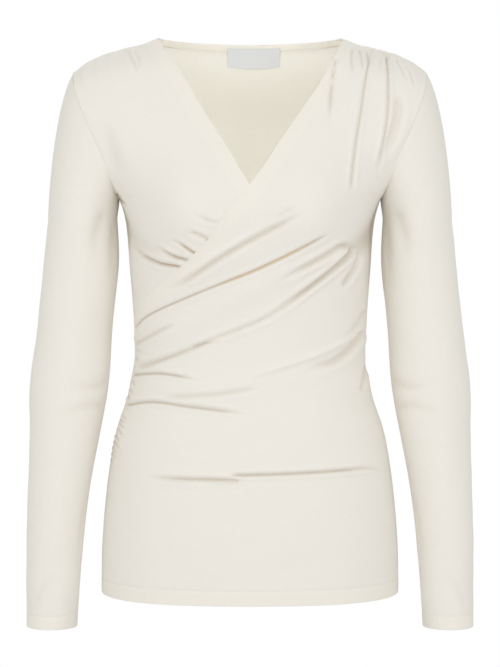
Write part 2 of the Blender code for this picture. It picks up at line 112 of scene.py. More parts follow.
SLEEVE = [  # height, out, centre y, half x, half y
    (-212, 194.3, 3, 40.1, 49.0), (-235, 194.9, 2, 42.2, 46.5), (-262, 196.0, 1, 43.5, 45.0),
    (-306, 200.6, 0, 43.6, 44.0), (-353, 205.5, -1, 44.3, 44.0), (-400, 210.2, -3, 45.8, 44.5),
    (-437, 213.4, -6, 43.0, 43.0), (-474, 217.1, -10, 39.5, 40.5), (-511, 221.0, -14, 36.6, 38.0),
    (-549, 224.3, -18, 34.5, 35.5), (-595, 227.0, -22, 32.4, 33.0), (-642, 228.8, -25, 30.6, 31.0),
    (-684, 230.1, -27, 29.1, 30.0),
]  # fmt: skip
CAP_REACH = {"top": 104, "underarm": 18}  # how strongly a sleeve's cap leaves the armhole
SQUARER = 0.22  # how much squarer than an ellipse a trunk section is
SWUNG_BY = 0.35  # the share of the armhole over which a row's swing round the trunk eases
NECK_FROM = 0.45  # the share of the armhole above which the back's neck shapes its rows
BEND = {"reach": 16.0, "share": 0.04}  # how the bend at the level of the underarm is smoothed
STEP = 1e-3  # a small step in s or t


# %% Curves through a few values
def spline(knots, values):
    """A natural cubic through the values, as a function that holds its ends."""
    x, v = np.asarray(knots, float), np.asarray(values, float)
    n, h = len(x), np.diff(x)
    a, r = np.eye(n), np.zeros(n)
    for i in range(1, n - 1):
        a[i, i - 1 : i + 2] = h[i - 1], 2 * (h[i - 1] + h[i]), h[i]
        r[i] = 6 * ((v[i + 1] - v[i]) / h[i] - (v[i] - v[i - 1]) / h[i - 1])
    bend = np.linalg.solve(a, r)

    def read(at):
        at = np.clip(np.asarray(at, float), x[0], x[-1])
        i = np.clip(np.searchsorted(x, at) - 1, 0, n - 2)
        b = (at - x[i]) / h[i]
        c = 1 - b
        curve = ((c**3 - c) * bend[i] + (b**3 - b) * bend[i + 1]) * h[i] ** 2 / 6
        return c * v[i] + b * v[i + 1] + curve

    return read


def splines(table, *columns):
    """One spline for each column after the first, by name."""
    rows = sorted(table)
    knots = [row[0] for row in rows]
    return {name: spline(knots, [row[i] for row in rows]) for i, name in enumerate(columns, 1)}


def ramp(a):
    """0 up to 0, 1 from 1, and smooth between."""
    a = np.clip(a, 0, 1)
    return a * a * (3 - 2 * a)


def unit(vectors):
    return vectors / np.maximum(np.linalg.norm(vectors, axis=-1, keepdims=True), 1e-9)


side = splines(SIDE, "half_width")
centre = splines(CENTRE, "front_y", "back_y")
armhole = splines(ARMHOLE, "out", "front_y", "back_y", "height")
sleeve = splines(SLEEVE, "out", "centre_y", "half_x", "half_y")
FACE_Y = {FRONT: "front_y", BACK: "back_y"}
T_UNDERARM = (UNDERARM - HEM) / -HEM
ARMHOLE_TOP = ARMHOLE[-1][1]
SHOULDER_SWING = math.radians(60)  # how far round the trunk a row reaches at the shoulder
print("half width at the waist:", float(side["half_width"](-345.0)))


# %% A point of the worn front or back
def rows_at(t):
    """Where the row at t ends on the side or armhole, and how wide it swings round the trunk."""
    low = t < T_UNDERARM
    arm = np.clip((t - T_UNDERARM) / (1 - T_UNDERARM), 0, 1)
    height = HEM * (1 - np.minimum(t, T_UNDERARM))
    out = np.where(low, side["half_width"](height), armhole["out"](arm))
    end_z = np.where(low, height, armhole["height"](arm))
    swing = math.pi / 2 + (SHOULDER_SWING - math.pi / 2) * ramp(arm / SWUNG_BY)
    return low, arm, height, out, end_z, swing


def roundness(angle):
    """A trunk section's depth at this angle from its centre: an ellipse, a little squarer."""
    return np.cos(angle) * (1 + SQUARER * np.sin(angle) ** 2)


def neck_curve(x, soft):
    """How far round the back neck this x is: 1 at the centre back, 0 beyond the neck points."""
    inside = 1 - (x / BACK_NECK["half_width"]) ** 2
    return np.sqrt((inside + np.sqrt(inside**2 + soft**2)) / 2)


def sections(face, s, t):
    """A point of the front or back: s runs from -1 at the right side to 1 at the left, and t
    from 0 at the hem to 1 at the shoulder."""
    s, t = np.broadcast_arrays(np.asarray(s, float), np.asarray(t, float))
    low, arm, height, out, end_z, swing = rows_at(t)
    shoulder = np.array(SHOULDER)
    mid_z = np.where(low, height, UNDERARM * (1 - arm))
    mid_y = centre[FACE_Y[face]](mid_z)
    end_y = np.where(low, SIDE_Y, armhole[FACE_Y[face]](arm))
    r = np.sin(s * swing) / np.sin(swing)
    x = out * r
    seam_rise = np.interp(np.abs(r), shoulder[:, 0], shoulder[:, 1])
    z = end_z + (mid_z - end_z) * ((1 - arm) * (1 - r**2) + arm * seam_rise)
    round_in, round_end = roundness(s * swing), roundness(swing)
    y = end_y + (mid_y - end_y) * (round_in - round_end) / (1 - round_end)
    if face == BACK:
        neck = neck_curve(x, 1.5 * (1 - arm) ** 2)
        near = ramp((arm - NECK_FROM) / (1 - NECK_FROM))
        at_seam = SHOULDER_Y + (end_y - SHOULDER_Y) * r**6
        y = y * (1 - near) + (at_seam + BACK_NECK["behind"] * neck) * near
        z = z - BACK_NECK["below"] * neck * arm**2
    else:
        tall = np.where(z > BUST["height"], BUST["up"], BUST["down"])
        across = (np.abs(x) - BUST["out"]) / BUST["wide"]
        rise = np.exp(-(across**2) - ((z - BUST["height"]) / tall) ** 2)
        y = y - BUST["rise"] * rise * (1 - s**16)
    return np.stack([x, y, z], -1)


def form(face, s, t):
    """The same point, with the bend at the level of the underarm smoothed out between the sides."""
    s, t = np.broadcast_arrays(np.asarray(s, float), np.asarray(t, float))
    level = np.exp(-(((t - T_UNDERARM) / BEND["share"]) ** 2))
    spread = BEND["reach"] / -HEM * level * (1 - s**4)
    nearby = [sections(face, s, np.clip(t + k * spread, 0, 1)) for k in (-1, -0.5, 0, 0.5, 1)]
    return sum(nearby) / len(nearby)


def outward(face, s, t):
    """The direction out of the cloth."""
    along_s = form(face, s + STEP, t) - form(face, s - STEP, t)
    along_t = form(face, s, np.minimum(t + STEP, 1)) - form(face, s, np.maximum(t - STEP, 0))
    return unit(np.cross(along_s, along_t) * -face)


HALVINGS, EDGE_POINTS = 40, 300  # how finely a place and a crossing edge are worked out


def locate(x, z):
    """The s and t of a point of the front, given where it is seen from straight in front."""
    x, z = np.broadcast_arrays(np.asarray(x, float), np.asarray(z, float))
    below, above = np.zeros(x.shape), np.ones(x.shape)
    for _ in range(HALVINGS):
        t = (below + above) / 2
        _, _, _, out, _, swing = rows_at(t)
        s = np.arcsin(np.clip(x / out * np.sin(swing), -1, 1)) / swing
        under = form(FRONT, s, t)[..., 2] < z
        below, above = np.where(under, t, below), np.where(under, above, t)
    return s, t


def along_edge(edge, share):
    """The s and t of points at these shares of a crossing edge's length round the trunk."""
    knots, walk = np.linspace(0, 1, len(edge)), np.linspace(0, 1, EDGE_POINTS)
    s, t = (spline(knots, column)(walk) for column in locate(*zip(*edge)))
    steps = np.linalg.norm(np.diff(form(FRONT, s, t), axis=0), axis=1)
    length = np.append(0, np.cumsum(steps)) / steps.sum()
    return np.interp(share, length, s), np.interp(share, length, t)


def edge_line(edge, count):
    """Points along a crossing edge, by x and height."""
    return form(FRONT, *along_edge(edge, np.linspace(0, 1, count)))[:, [0, 2]]


# %% [markdown]
# ## Creases
#
# On the real top the creases are where spare cloth is drawn into a seam: narrow and sharp at
# the seam, broad and faint where they run out. A simulation could find such creases, but not
# these ones, so they are listed one by one. Each is a route across the front, with a width, a
# depth, a ridge beside it and a share of its length over which each end fades. Its shade, and the light
# that bounces about inside a narrow fold and makes cream cloth look warm there, are painted into the
# colour along it.

# %% The table of creases, and how a crease moves the cloth
CREASE_COLUMNS = ("wide0", "wide1", "rise", "above", "below", "sharp", "fade0", "fade1", "painted_shade")
# The columns after the route: the half width at both ends, how far out of the cloth (in, if negative),
# the ridges above and below it as shares of that, how sharp its bottom is (1 a line, 2 round), the share
# of the length over which each end fades, and the painted shade along it, which turns warm where it is
# strong. A route runs towards the wearer's left or down, by x and height.
OVER_CREASES = [
    # below the crossing edge, and its echoes
    (((-102, -291), (-74, -279), (-36, -254), (20, -222), (67, -198)),
     2.8, 2.6, -4.0, 0.45, 0.25, 1.5, 0.25, 0.25, 0.24),
    (((26, -207), (38, -201), (51, -194)), 2.2, 2.2, -1.5, 0.30, 0.00, 1.5, 0.20, 0.25, 0.08),
    # the sharpest one, from the right side to the left bust, and deepest in its middle
    (((-134, -338), (-117, -320), (-73, -298), (-25, -278), (12, -263), (59, -240), (91, -223)),
     1.4, 1.6, -1.8, 0.25, 0.35, 1.15, 0.04, 0.08, 0.50),
    (((-46, -287), (-25, -278), (12, -263), (59, -240), (82, -228)),
     1.7, 1.9, -0.6, 0.20, 0.30, 1.3, 0.25, 0.25, 0.34),
    (((26, -282), (47, -270), (75, -255), (94, -244), (104, -239), (121, -240)),
     2.8, 2.6, -4.8, 0.30, 0.30, 1.6, 0.50, 0.14, 0.24),
    # the long one below it, which is deepest under the bust
    (((-131, -382), (-125, -378), (-87, -364), (-35, -342), (18, -320), (58, -293), (93, -266),
      (113, -247), (124, -239)),
     2.2, 2.4, -2.4, 0.35, 0.35, 1.3, 0.04, 0.08, 0.13),
    (((18, -319), (58, -292), (93, -265), (113, -246), (120, -240)),
     2.3, 2.3, -4.8, 0.30, 0.30, 1.3, 0.50, 0.05, 0.15),
    (((-130, -381), (-117, -377), (-97, -368), (-66, -356), (-46, -347)),
     3.4, 2.4, -1.5, 0.00, 0.00, 2.2, 0.06, 0.50, 0.14),
    (((-66, -354), (-54, -350), (-46, -348), (-28, -348)),
     1.9, 1.8, -2.2, 0.30, 0.00, 1.3, 0.05, 0.55, 0.14),
    (((-133, -355), (-105, -338), (-80, -325)), 2.2, 2.4, -2.6, 0.30, 0.30, 1.6, 0.04, 0.35, 0.20),
    # at the waist
    (((-135, -390), (-122, -387), (-106, -385), (-87, -386), (-56, -391)),
     1.4, 1.5, -3.5, 0.30, 0.40, 1.15, 0.02, 0.35, 0.29),
    (((-12, -389), (60, -368), (110, -347), (132, -333)),
     3.2, 3.6, 2.6, 0.00, 0.00, 2.0, 0.30, 0.25, 0.00),
    (((56, -385), (74, -377), (100, -368), (120, -351), (131, -339)),
     4.4, 3.4, -7.0, 0.00, 0.20, 1.8, 0.60, 0.05, 0.23),
    (((104, -345), (120, -333), (133, -314)), 4.2, 3.4, -2.0, 0.00, 0.00, 2.0, 0.40, 0.10, 0.12),
    (((-105, -412), (-62, -409), (-38, -407), (-18, -404), (15, -399)),
     2.4, 2.4, -2.3, 0.30, 0.30, 1.8, 0.20, 0.25, 0.14),
    (((-144, -425), (-129, -420), (-107, -417), (-76, -420), (-38, -424), (0, -429)),
     1.3, 1.9, -3.8, 0.35, 0.30, 1.2, 0.02, 0.28, 0.26),
    # across the stomach
    (((-125, -502), (-83, -502), (-38, -502), (-10, -503)),
     2.2, 1.7, -4.2, 0.30, 0.30, 1.4, 0.42, 0.06, 0.29),
    (((-24, -497), (23, -496), (58, -495), (114, -493), (137, -494), (161, -500)),
     1.6, 1.8, -4.0, 0.30, 0.30, 1.4, 0.05, 0.32, 0.30),
    # short drags at the left waist and under the left bust
    (((134, -371), (133, -385), (130, -398), (128, -409)),
     2.4, 2.6, -3.6, 0.20, 0.20, 1.4, 0.40, 0.20, 0.20),
    (((126, -245), (119, -263), (112, -274), (104, -287)),
     2.6, 2.6, -7.4, 0.20, 0.20, 1.5, 0.25, 0.20, 0.22),
    (((93, -265), (104, -255), (116, -243)), 1.9, 2.1, -5.0, 0.20, 0.20, 1.4, 0.35, 0.20, 0.26),
]  # fmt: skip
SHOULDER_PLEATS = [
    (((134, -14), (136, -28), (132, -49), (127, -80), (122, -111), (118, -140), (114, -180)),
     1.3, 2.0, -2.8, 0.35, 0.35, 1.25, 0.02, 0.08, 0.20),
    (((142, -15), (138, -25), (135, -36)), 1.1, 1.1, -0.9, 0.30, 0.00, 1.3, 0.05, 0.60, 0.14),
    (((126, -13), (128, -24), (129, -40)), 1.2, 1.4, -1.6, 0.30, 0.20, 1.4, 0.05, 0.30, 0.14),
    (((157, -19), (158, -38), (158, -60), (157, -88), (153, -117), (147, -146), (143, -160)),
     1.4, 2.1, -3.4, 0.35, 0.35, 1.35, 0.02, 0.20, 0.14),
    (((118, -12), (117, -26), (118, -46)), 1.3, 1.6, -1.6, 0.30, 0.20, 1.4, 0.05, 0.35, 0.14),
    (((184, -38), (187, -50), (190, -60)), 1.3, 1.5, -1.2, 0.20, 0.20, 1.5, 0.10, 0.50, 0.08),
    (((170, -26), (175, -38), (181, -52)), 1.3, 1.6, -1.4, 0.20, 0.20, 1.5, 0.05, 0.50, 0.10),
    (((150, -18), (150, -32), (148, -52)), 1.5, 2.4, -1.0, 0.20, 0.20, 1.6, 0.05, 0.60, 0.05),
    (((100, -22), (96, -36), (93, -56), (91, -82), (91, -104)),
     1.5, 1.9, -3.2, 0.20, 0.20, 1.5, 0.10, 0.35, 0.15),
    (((171, -66), (169, -88), (163, -112), (150, -146)),
     4.4, 5.0, -7.5, 0.10, 0.10, 2.0, 0.15, 0.40, 0.12),
]  # fmt: skip
# the spare cloth of the right side seam: a close row of short puckers below the waist, each with
# its ends and its depth, and a few above them
LOW_PUCKERS = [
    ((-149, -437), (-142, -440), -1.3),
    ((-152, -442), (-144, -444), -1.6),
    ((-153, -446), (-144, -450), -1.4),
    ((-154, -452), (-146, -459), -1.8),
    ((-157, -459), (-150, -468), -1.7),
    ((-159, -465), (-150, -476), -2.0),
    ((-160, -470), (-154, -482), -1.9),
    ((-161, -478), (-156, -488), -1.5),
    ((-163, -484), (-159, -493), -0.9),
]
SEAM_PUCKERS = [
    ((upper, lower), 1.1, 1.1, rise, 0.50, 0.50, 1.3, 0.30, 0.45, 0.17)
    for upper, lower, rise in LOW_PUCKERS
] + [
    (((-144, -413), (-136, -421)), 1.2, 1.2, -1.0, 0.50, 0.50, 1.3, 0.30, 0.70, 0.29),
    (((-133, -358), (-121, -364)), 1.3, 1.3, -0.9, 0.40, 0.40, 1.4, 0.30, 0.70, 0.22),
    (((-133, -370), (-124, -373)), 1.3, 1.3, -0.8, 0.30, 0.30, 1.4, 0.30, 0.60, 0.22),
    (((-138, -396), (-130, -403)), 1.4, 1.3, -1.2, 0.40, 0.40, 1.4, 0.30, 0.70, 0.29),
    (((-141, -406), (-134, -411)), 1.3, 1.3, -0.9, 0.40, 0.40, 1.4, 0.30, 0.70, 0.22),
]  # fmt: skip
UNDER_CREASES = [
    # caught under the crossing edge
    (((-66, -202), (-53, -207), (-44, -211), (-31, -212)),
     2.2, 2.0, -1.5, 0.50, 0.10, 1.4, 0.50, 0.25, 0.12),
    (((-70, -223), (-56, -227), (-44, -234)), 2.2, 2.2, -2.9, 0.40, 0.10, 1.4, 0.35, 0.28, 0.20),
    (((-92, -230), (-78, -237), (-67, -244), (-57, -249)),
     1.6, 1.4, -3.4, 0.45, 0.20, 1.2, 0.65, 0.22, 0.30),
    (((-108, -239), (-93, -248), (-83, -252), (-66, -256)),
     1.9, 1.6, -4.2, 0.60, 0.10, 1.2, 0.40, 0.25, 0.30),
    (((-139, -237), (-125, -250), (-109, -257), (-99, -260), (-75, -263)),
     2.3, 1.6, -4.8, 0.50, 0.15, 1.25, 0.42, 0.14, 0.36),
    # painted warm shade where they are pinched by the edge
    (((-80, -236), (-67, -244), (-57, -249)), 1.2, 1.2, 0.3, 0.20, 0.10, 1.3, 0.40, 0.20, 0.50),
    (((-93, -248), (-83, -252), (-66, -256)), 1.2, 1.2, 0.3, 0.20, 0.10, 1.3, 0.40, 0.20, 0.40),
    (((-109, -257), (-99, -260), (-75, -263)), 1.2, 1.2, 0.4, 0.20, 0.10, 1.3, 0.40, 0.15, 0.36),
    # the right shoulder's small gathers
    (((-142, -13), (-137, -22), (-131, -34), (-128, -46)),
     1.8, 2.2, -1.8, 0.30, 0.30, 1.6, 0.05, 0.40, 0.11),
    (((-133, -13), (-128, -24), (-125, -40)), 1.6, 2.0, -1.2, 0.30, 0.30, 1.6, 0.05, 0.50, 0.05),
    # at the right underarm, a small fold between two lines, which are shallow creases with strong
    # painted shade
    (((-154, -180), (-147, -188)), 1.2, 1.2, -1.1, 0.30, 0.60, 1.3, 0.05, 0.60, 0.80),
    (((-150, -187), (-141, -194)), 1.2, 1.2, -1.1, 0.60, 0.30, 1.3, 0.05, 0.60, 0.70),
]  # fmt: skip
# broad hollows that both fronts share, with painted shade in them: below the bust towards the sides, and
# by the armholes
HOLLOWS = [
    (((164, -192), (152, -211), (140, -227), (124, -240), (96, -246)),
     16.0, 12.0, -4.2, 0.10, 0.10, 2.0, 0.30, 0.50, 0.46),
    (((154, -226), (144, -262), (141, -310)), 13.0, 11.0, -1.8, 0.10, 0.10, 2.0, 0.35, 0.50, 0.36),
    (((-164, -196), (-150, -214), (-138, -229), (-120, -243), (-88, -250)),
     14.0, 10.0, -3.0, 0.10, 0.10, 2.0, 0.30, 0.50, 0.16),
    (((-170, -92), (-164, -107), (-158, -132), (-149, -168)),
     8.0, 8.0, -2.8, 0.10, 0.10, 2.0, 0.40, 0.35, 0.05),
]  # fmt: skip
# hidden from in front, and softer
BACK_CREASES = [
    (((-130, -342), (-70, -350), (20, -372)), 9.0, 7.0, -2.4, 0.30, 0.30, 1.8, 0.15, 0.50, 0.12),
    (((-20, -394), (60, -380), (134, -350)), 7.0, 9.0, -2.4, 0.30, 0.30, 1.8, 0.50, 0.15, 0.12),
    (((-138, -384), (-80, -382), (-20, -392)), 5.0, 4.0, -1.8, 0.40, 0.30, 1.5, 0.10, 0.55, 0.20),
    (((-142, -410), (-60, -404), (50, -416)), 7.0, 6.0, -1.8, 0.30, 0.30, 1.8, 0.15, 0.50, 0.12),
    (((12, -424), (80, -418), (146, -402)), 5.0, 6.0, -1.4, 0.30, 0.30, 1.7, 0.50, 0.15, 0.12),
    (((-120, -508), (-40, -516), (70, -510)), 7.0, 6.0, -1.3, 0.30, 0.30, 1.9, 0.40, 0.50, 0.07),
    (((60, -236), (100, -206), (152, -160)), 8.0, 11.0, -2.2, 0.20, 0.20, 1.9, 0.50, 0.30, 0.09),
    (((-152, -160), (-104, -202), (-60, -232)), 11.0, 8.0, -2.2, 0.20, 0.20, 1.9, 0.30, 0.50, 0.09),
    (((-148, -206), (-90, -232)), 6.0, 5.0, -1.2, 0.30, 0.20, 1.8, 0.10, 0.60, 0.12),
    (((84, -240), (147, -210)), 5.0, 6.0, -1.2, 0.30, 0.20, 1.8, 0.60, 0.10, 0.12),
    (((-40, -110), (-20, -190), (-26, -250)), 9.0, 9.0, -0.9, 0.20, 0.20, 2.0, 0.40, 0.50, 0.03),
]  # fmt: skip


PATH_POINTS = 12  # on a crease's path, for each point of its route
# sizes that grow with a crease's half width: times it, and plus millimetres
REACH, RIDGE_AT, RIDGE_WIDE, PAINTED_SHADE_WIDE = (5, 4), (2, 1), (0.9, 0.6), (0.75, 0.25)


def crease(route, *values):
    """A crease by the names of its columns, with a smooth path of points through its route."""
    made = dict(zip(CREASE_COLUMNS, values))
    knots, walk = np.linspace(0, 1, len(route)), np.linspace(0, 1, PATH_POINTS * len(route))
    made["path"] = np.stack([spline(knots, column)(walk) for column in zip(*route)], -1)
    return made


def by_width(size, wide):
    return size[0] * wide + size[1]


def nearest(path, x, z):
    """How far along a path each point is, as a share, and how far above it."""
    best = np.full(x.shape, np.inf)
    share, off = np.zeros(x.shape), np.zeros(x.shape)
    steps = np.diff(path, axis=0)
    lengths = np.linalg.norm(steps, axis=1)
    walked = np.append(0, np.cumsum(lengths))
    for (x0, z0), (dx, dz), length, start in zip(path, steps / lengths[:, None], lengths, walked):
        along = np.clip((x - x0) * dx + (z - z0) * dz, 0, length)
        away_x, away_z = x - x0 - along * dx, z - z0 - along * dz
        far = np.hypot(away_x, away_z)
        closer = far < best
        best = np.where(closer, far, best)
        share = np.where(closer, (start + along) / walked[-1], share)
        off = np.where(closer, np.copysign(far, away_z * dx - away_x * dz), off)
    return share, off


def creases(table, x, z):
    """How far a table of creases moves the cloth out, and the shade it paints along them."""
    moved, painted_shade = np.zeros(x.shape), np.zeros(x.shape)
    for row in table:
        c = crease(*row)
        reach = by_width(REACH, max(c["wide0"], c["wide1"]))
        low, high = c["path"].min(0) - reach, c["path"].max(0) + reach
        near = (x > low[0]) & (x < high[0]) & (z > low[1]) & (z < high[1])
        share, off = nearest(c["path"], x[near], z[near])
        wide = c["wide0"] + (c["wide1"] - c["wide0"]) * share
        held = ramp(share / c["fade0"]) * ramp((1 - share) / c["fade1"])
        beyond = np.where((share > 0) & (share < 1), 1.0, np.exp(-((off / wide) ** 2)))
        bottom = np.exp(-((np.abs(off) / wide) ** c["sharp"]))
        ridge = np.where(off > 0, c["above"], c["below"])
        off_ridge = (np.abs(off) - by_width(RIDGE_AT, wide)) / by_width(RIDGE_WIDE, wide)
        ridge = ridge * np.exp(-(off_ridge**2))
        moved[near] += c["rise"] * held * beyond * (bottom - ridge)
        painted_falloff = np.exp(-((off / by_width(PAINTED_SHADE_WIDE, wide)) ** 2))
        painted_shade[near] += c["painted_shade"] * held * beyond * painted_falloff
    return moved, painted_shade


# which creases draw the grid in, from how far, by how much and how far past their ends, and how
# close to a crossing edge (in millimetres) and to a side (in s) it is left alone
DRAW = {"widest": 3.6, "reach": 5.0, "share": 0.62, "run_out": 12.0, "edge": (2, 8), "side": 0.05}
LEAST_X_BY_S = 20


def drawn_in(table, edge, s, t):
    """The points of a front drawn towards the table's sharper creases, which so get a finer grid.
    Points on a crossing edge or a side stay on it."""
    x, _, z = np.moveaxis(form(FRONT, s, t), -1, 0)
    x_by_s = (form(FRONT, s + STEP, t) - form(FRONT, s - STEP, t))[..., 0] / (2 * STEP)
    x_by_s = np.maximum(x_by_s, LEAST_X_BY_S)
    inner = np.clip(t, STEP, 1 - STEP)
    z_by_t = (form(FRONT, s, inner + STEP) - form(FRONT, s, inner - STEP))[..., 2] / (2 * STEP)
    still, easing = DRAW["edge"]
    free = ramp((from_edge(edge, x, z) - still) / easing)
    for row in table:
        c = crease(*row)
        if max(c["wide0"], c["wide1"]) > DRAW["widest"]:
            continue
        path, beyond = c["path"], DRAW["run_out"]
        start = path[0] + beyond * unit(path[0] - path[1])
        end = path[-1] + beyond * unit(path[-1] - path[-2])
        path = np.concatenate([[start], path, [end]])
        length = np.linalg.norm(np.diff(path, axis=0), axis=1).sum()
        low, high = path.min(0) - beyond, path.max(0) + beyond
        near = (x > low[0]) & (x < high[0]) & (z > low[1]) & (z < high[1])
        share, off = nearest(path, x[near], z[near])
        held = ramp(share * length / beyond) * ramp((1 - share) * length / beyond) * free[near]
        pull = -DRAW["share"] * off * np.exp(-((off / DRAW["reach"]) ** 2)) * held
        run, fall = np.abs(path[-1] - path[0]) / np.linalg.norm(path[-1] - path[0])
        if run > fall:
            z[near] += pull / run
            t[near] += pull / run / z_by_t[near]
        else:
            pull = pull / fall * ramp((1 - np.abs(s[near])) / DRAW["side"])
            x[near] += pull
            s[near] += pull / x_by_s[near]
    return s, t


UNEVEN = [(0.012, 17, 0), (0.008, 41, 1)]  # how far the gathers stray, how often, and from where
HELD = {"least": 0.35, "over": 7}  # what the stitches leave of a gather, and how far they hold it
SEWN_REACH = 0.06
DRIFT = {"height": 0.13, "turned": 0.7, "waves": ((0.4, 96), (1.7, 71), (2.6, 53), (1.1, 38))}


def gathers(count, rise, reach, across, into):
    """Waves along a seam: across runs 0 to 1 along it, and into is the distance from it. The
    stitches hold the cloth flat at the seam itself."""
    uneven = across + sum(far * np.sin(often * across + start) for far, often, start in UNEVEN)
    held = HELD["least"] + (1 - HELD["least"]) * ramp(into / HELD["over"])
    return rise * np.cos(2 * math.pi * count * uneven) * np.exp(-((into / reach) ** 2)) * held


def sewn(s):
    """0 on the sides of a panel, which its seams hold in place, and 1 from a little way in."""
    return ramp((1 - np.abs(s)) / SEWN_REACH)


def drift(x, z, seed):
    """The slow unevenness of cloth that hangs free, in millimetres."""
    waves = np.zeros(x.shape)
    for k, (along, length) in enumerate(DRIFT["waves"]):
        turn = along + DRIFT["turned"] * seed
        walked = x * math.cos(turn) + z * math.sin(turn)
        waves += DRIFT["height"] * np.sin(2 * math.pi * walked / length + k)
    return waves


by_hand = (OVER_CREASES, SHOULDER_PLEATS, SEAM_PUCKERS, UNDER_CREASES, BACK_CREASES)
print("creases placed by hand:", sum(map(len, by_hand)))

# %% [markdown]
# ## Panels as sheets
#
# A cut piece is a grid of points. Each point carries its place, the direction out of the cloth, its
# place on the flat cloth, and two numbers for the finish: the painted shade of creases, hollows and seam
# lines, and whether the cloth is double there. Solidify could give the sheet a wall, but a sewn edge
# isn't a cut wall: it is a small roll where the cloth turns under. So every edge is turned in by hand,
# and the two lips of a seam meet with a fine groove between them.

# %% Grids of points
POINT, OUT, FLAT, PAINTED_SHADE, DOUBLE = slice(0, 3), slice(3, 6), slice(6, 8), 8, 9


def panel(face, s, t, moved, painted_shade, double):
    """A panel's grid: rows from the bottom up, each from the right to the left."""
    out = outward(face, s, t)
    point = form(face, s, t) + moved[..., None] * out
    flat = np.stack([s * HALF_PANEL, -t * HEM], -1)
    return np.concatenate([point, out, flat, painted_shade[..., None], double[..., None]], -1)


def place(kind, value, hand, edge):
    """The s and t of a place on a panel's side: on the side seam, armhole or crossing edge."""
    value = np.asarray(value, float)
    if kind == "edge":
        return along_edge(edge, value)
    s = np.full(value.shape, float(hand))
    if kind == "seam":
        return s, 1 - value / HEM
    return s, T_UNDERARM + value * (1 - T_UNDERARM)


def lattice(bands, across, edge=None):
    """The s and t of every point of a panel, and for each row whether its right and left ends
    lie on a crossing edge. A band's rows are a count, or heights above the hem."""
    right, left, on_edge = [], [], []
    for i, (rows, from_kind, from_low, from_high, to_kind, to_low, to_high) in enumerate(bands):
        even = np.linspace(0, 1, rows + 1) if isinstance(rows, int) else np.array(rows) / rows[-1]
        share = even[0 if i == 0 else 1 :]
        right.append(place(from_kind, from_low + (from_high - from_low) * share, RIGHT, edge))
        left.append(place(to_kind, to_low + (to_high - to_low) * share, LEFT, edge))
        on_edge += [(from_kind == "edge", to_kind == "edge")] * len(share)
    (s0, t0), (s1, t1) = (np.concatenate(ends, axis=1) for ends in (right, left))
    s = s0[:, None] + (s1 - s0)[:, None] * across
    t = t0[:, None] + (t1 - t0)[:, None] * across
    return s, t, np.array(on_edge, float).T


def from_side(grid, name):
    """The grid turned so that this side comes first in every row."""
    grid = grid.transpose(1, 0, 2) if name in ("bottom", "top") else grid
    return grid[:, ::-1] if name in ("left", "top") else grid


def back_from_side(grid, name):
    grid = grid[:, ::-1] if name in ("left", "top") else grid
    return grid.transpose(1, 0, 2) if name in ("bottom", "top") else grid


def walk_in(grid, distances):
    """The cloth at these distances from the start of each row."""
    steps = np.linalg.norm(np.diff(grid[..., POINT], axis=1), axis=-1)
    walked = np.concatenate([np.zeros((len(grid), 1)), np.cumsum(steps, axis=1)], axis=1)
    found = np.empty((*distances.shape, grid.shape[-1]))
    for row, at, wanted, cloth in zip(found, walked, distances, grid):
        for k in range(grid.shape[-1]):
            row[:, k] = np.interp(wanted, at, cloth[:, k])
    return found


# %% Turning an edge in
ROLL_STEPS = 5
INNER_SHARES = np.array([1.0, 0.62, 0.3, 0.12, 0.0])  # the inner layer's points, from its raw edge
TURNED = len(INNER_SHARES) + ROLL_STEPS + 1  # a turned side's points, with the panel's first own one
LEAST_SLANT = 0.7


def turn_in(grid, name, radius, depth, gap=0.0):
    """Turn one side of a panel under: a roll of this radius, then the inner layer. Both may
    differ from row to row. The roll ends this gap short of the panel's line."""
    grid = from_side(grid, name)
    radius, depth = (np.broadcast_to(np.asarray(a, float), len(grid)) for a in (radius, depth))
    out = grid[:, 0, OUT]
    along = unit(np.gradient(grid[:, 0, POINT], axis=0))
    into = grid[:, 2, POINT] - grid[:, 0, POINT]
    straight = into - (into * out).sum(-1, keepdims=True) * out
    straight = unit(straight - (straight * along).sum(-1, keepdims=True) * along)
    slant = np.clip((unit(into) * straight).sum(-1), LEAST_SLANT, 1)
    distances = (radius + gap)[:, None] + (depth - radius)[:, None] * INNER_SHARES
    inner = walk_in(grid, distances / slant[:, None])
    start = inner[:, -1:].copy()
    inner[..., POINT] -= 2 * radius[:, None, None] * inner[..., OUT]
    roll = np.repeat(start, ROLL_STEPS, axis=1)
    for k in range(ROLL_STEPS):
        angle = math.pi * (k + 1) / (ROLL_STEPS + 1) - math.pi / 2
        aside = -straight * math.cos(angle) + out * (math.sin(angle) - 1)
        roll[:, k, POINT] += radius[:, None] * aside
    kept = grid[:, 1:]
    return back_from_side(np.concatenate([inner, roll, start, kept], axis=1), name)


def mesh_of(name, grid):
    """A mesh from a grid in millimetres, with its faces outwards, its flat map and its finish."""
    rows, columns = grid.shape[:2]
    index = np.arange(rows * columns).reshape(rows, columns)
    corners = [index[:-1, :-1], index[:-1, 1:], index[1:, 1:], index[1:, :-1]]
    mid = grid[rows // 2 : rows // 2 + 2, columns // 2 : columns // 2 + 2]
    facing = np.cross(mid[0, 1, POINT] - mid[0, 0, POINT], mid[1, 0, POINT] - mid[0, 0, POINT])
    if facing @ mid[0, 0, OUT] < 0:
        corners.reverse()
    faces = np.stack(corners, -1).reshape(-1, 4)
    mesh = bpy.data.meshes.new(name)
    mesh.from_pydata((grid[..., POINT] * MM).reshape(-1, 3), [], faces.tolist())
    flat = (grid[..., FLAT] * MM).reshape(-1, 2)[faces.reshape(-1)]
    mesh.uv_layers.new(name="flat").data.foreach_set("uv", flat.ravel())
    for field, column in (("painted_shade", PAINTED_SHADE), ("double", DOUBLE)):
        values = mesh.attributes.new(field, "FLOAT", "POINT").data
        values.foreach_set("value", np.clip(grid[..., column], 0, 1).ravel())
    mesh.shade_smooth()
    mesh.update()
    return mesh


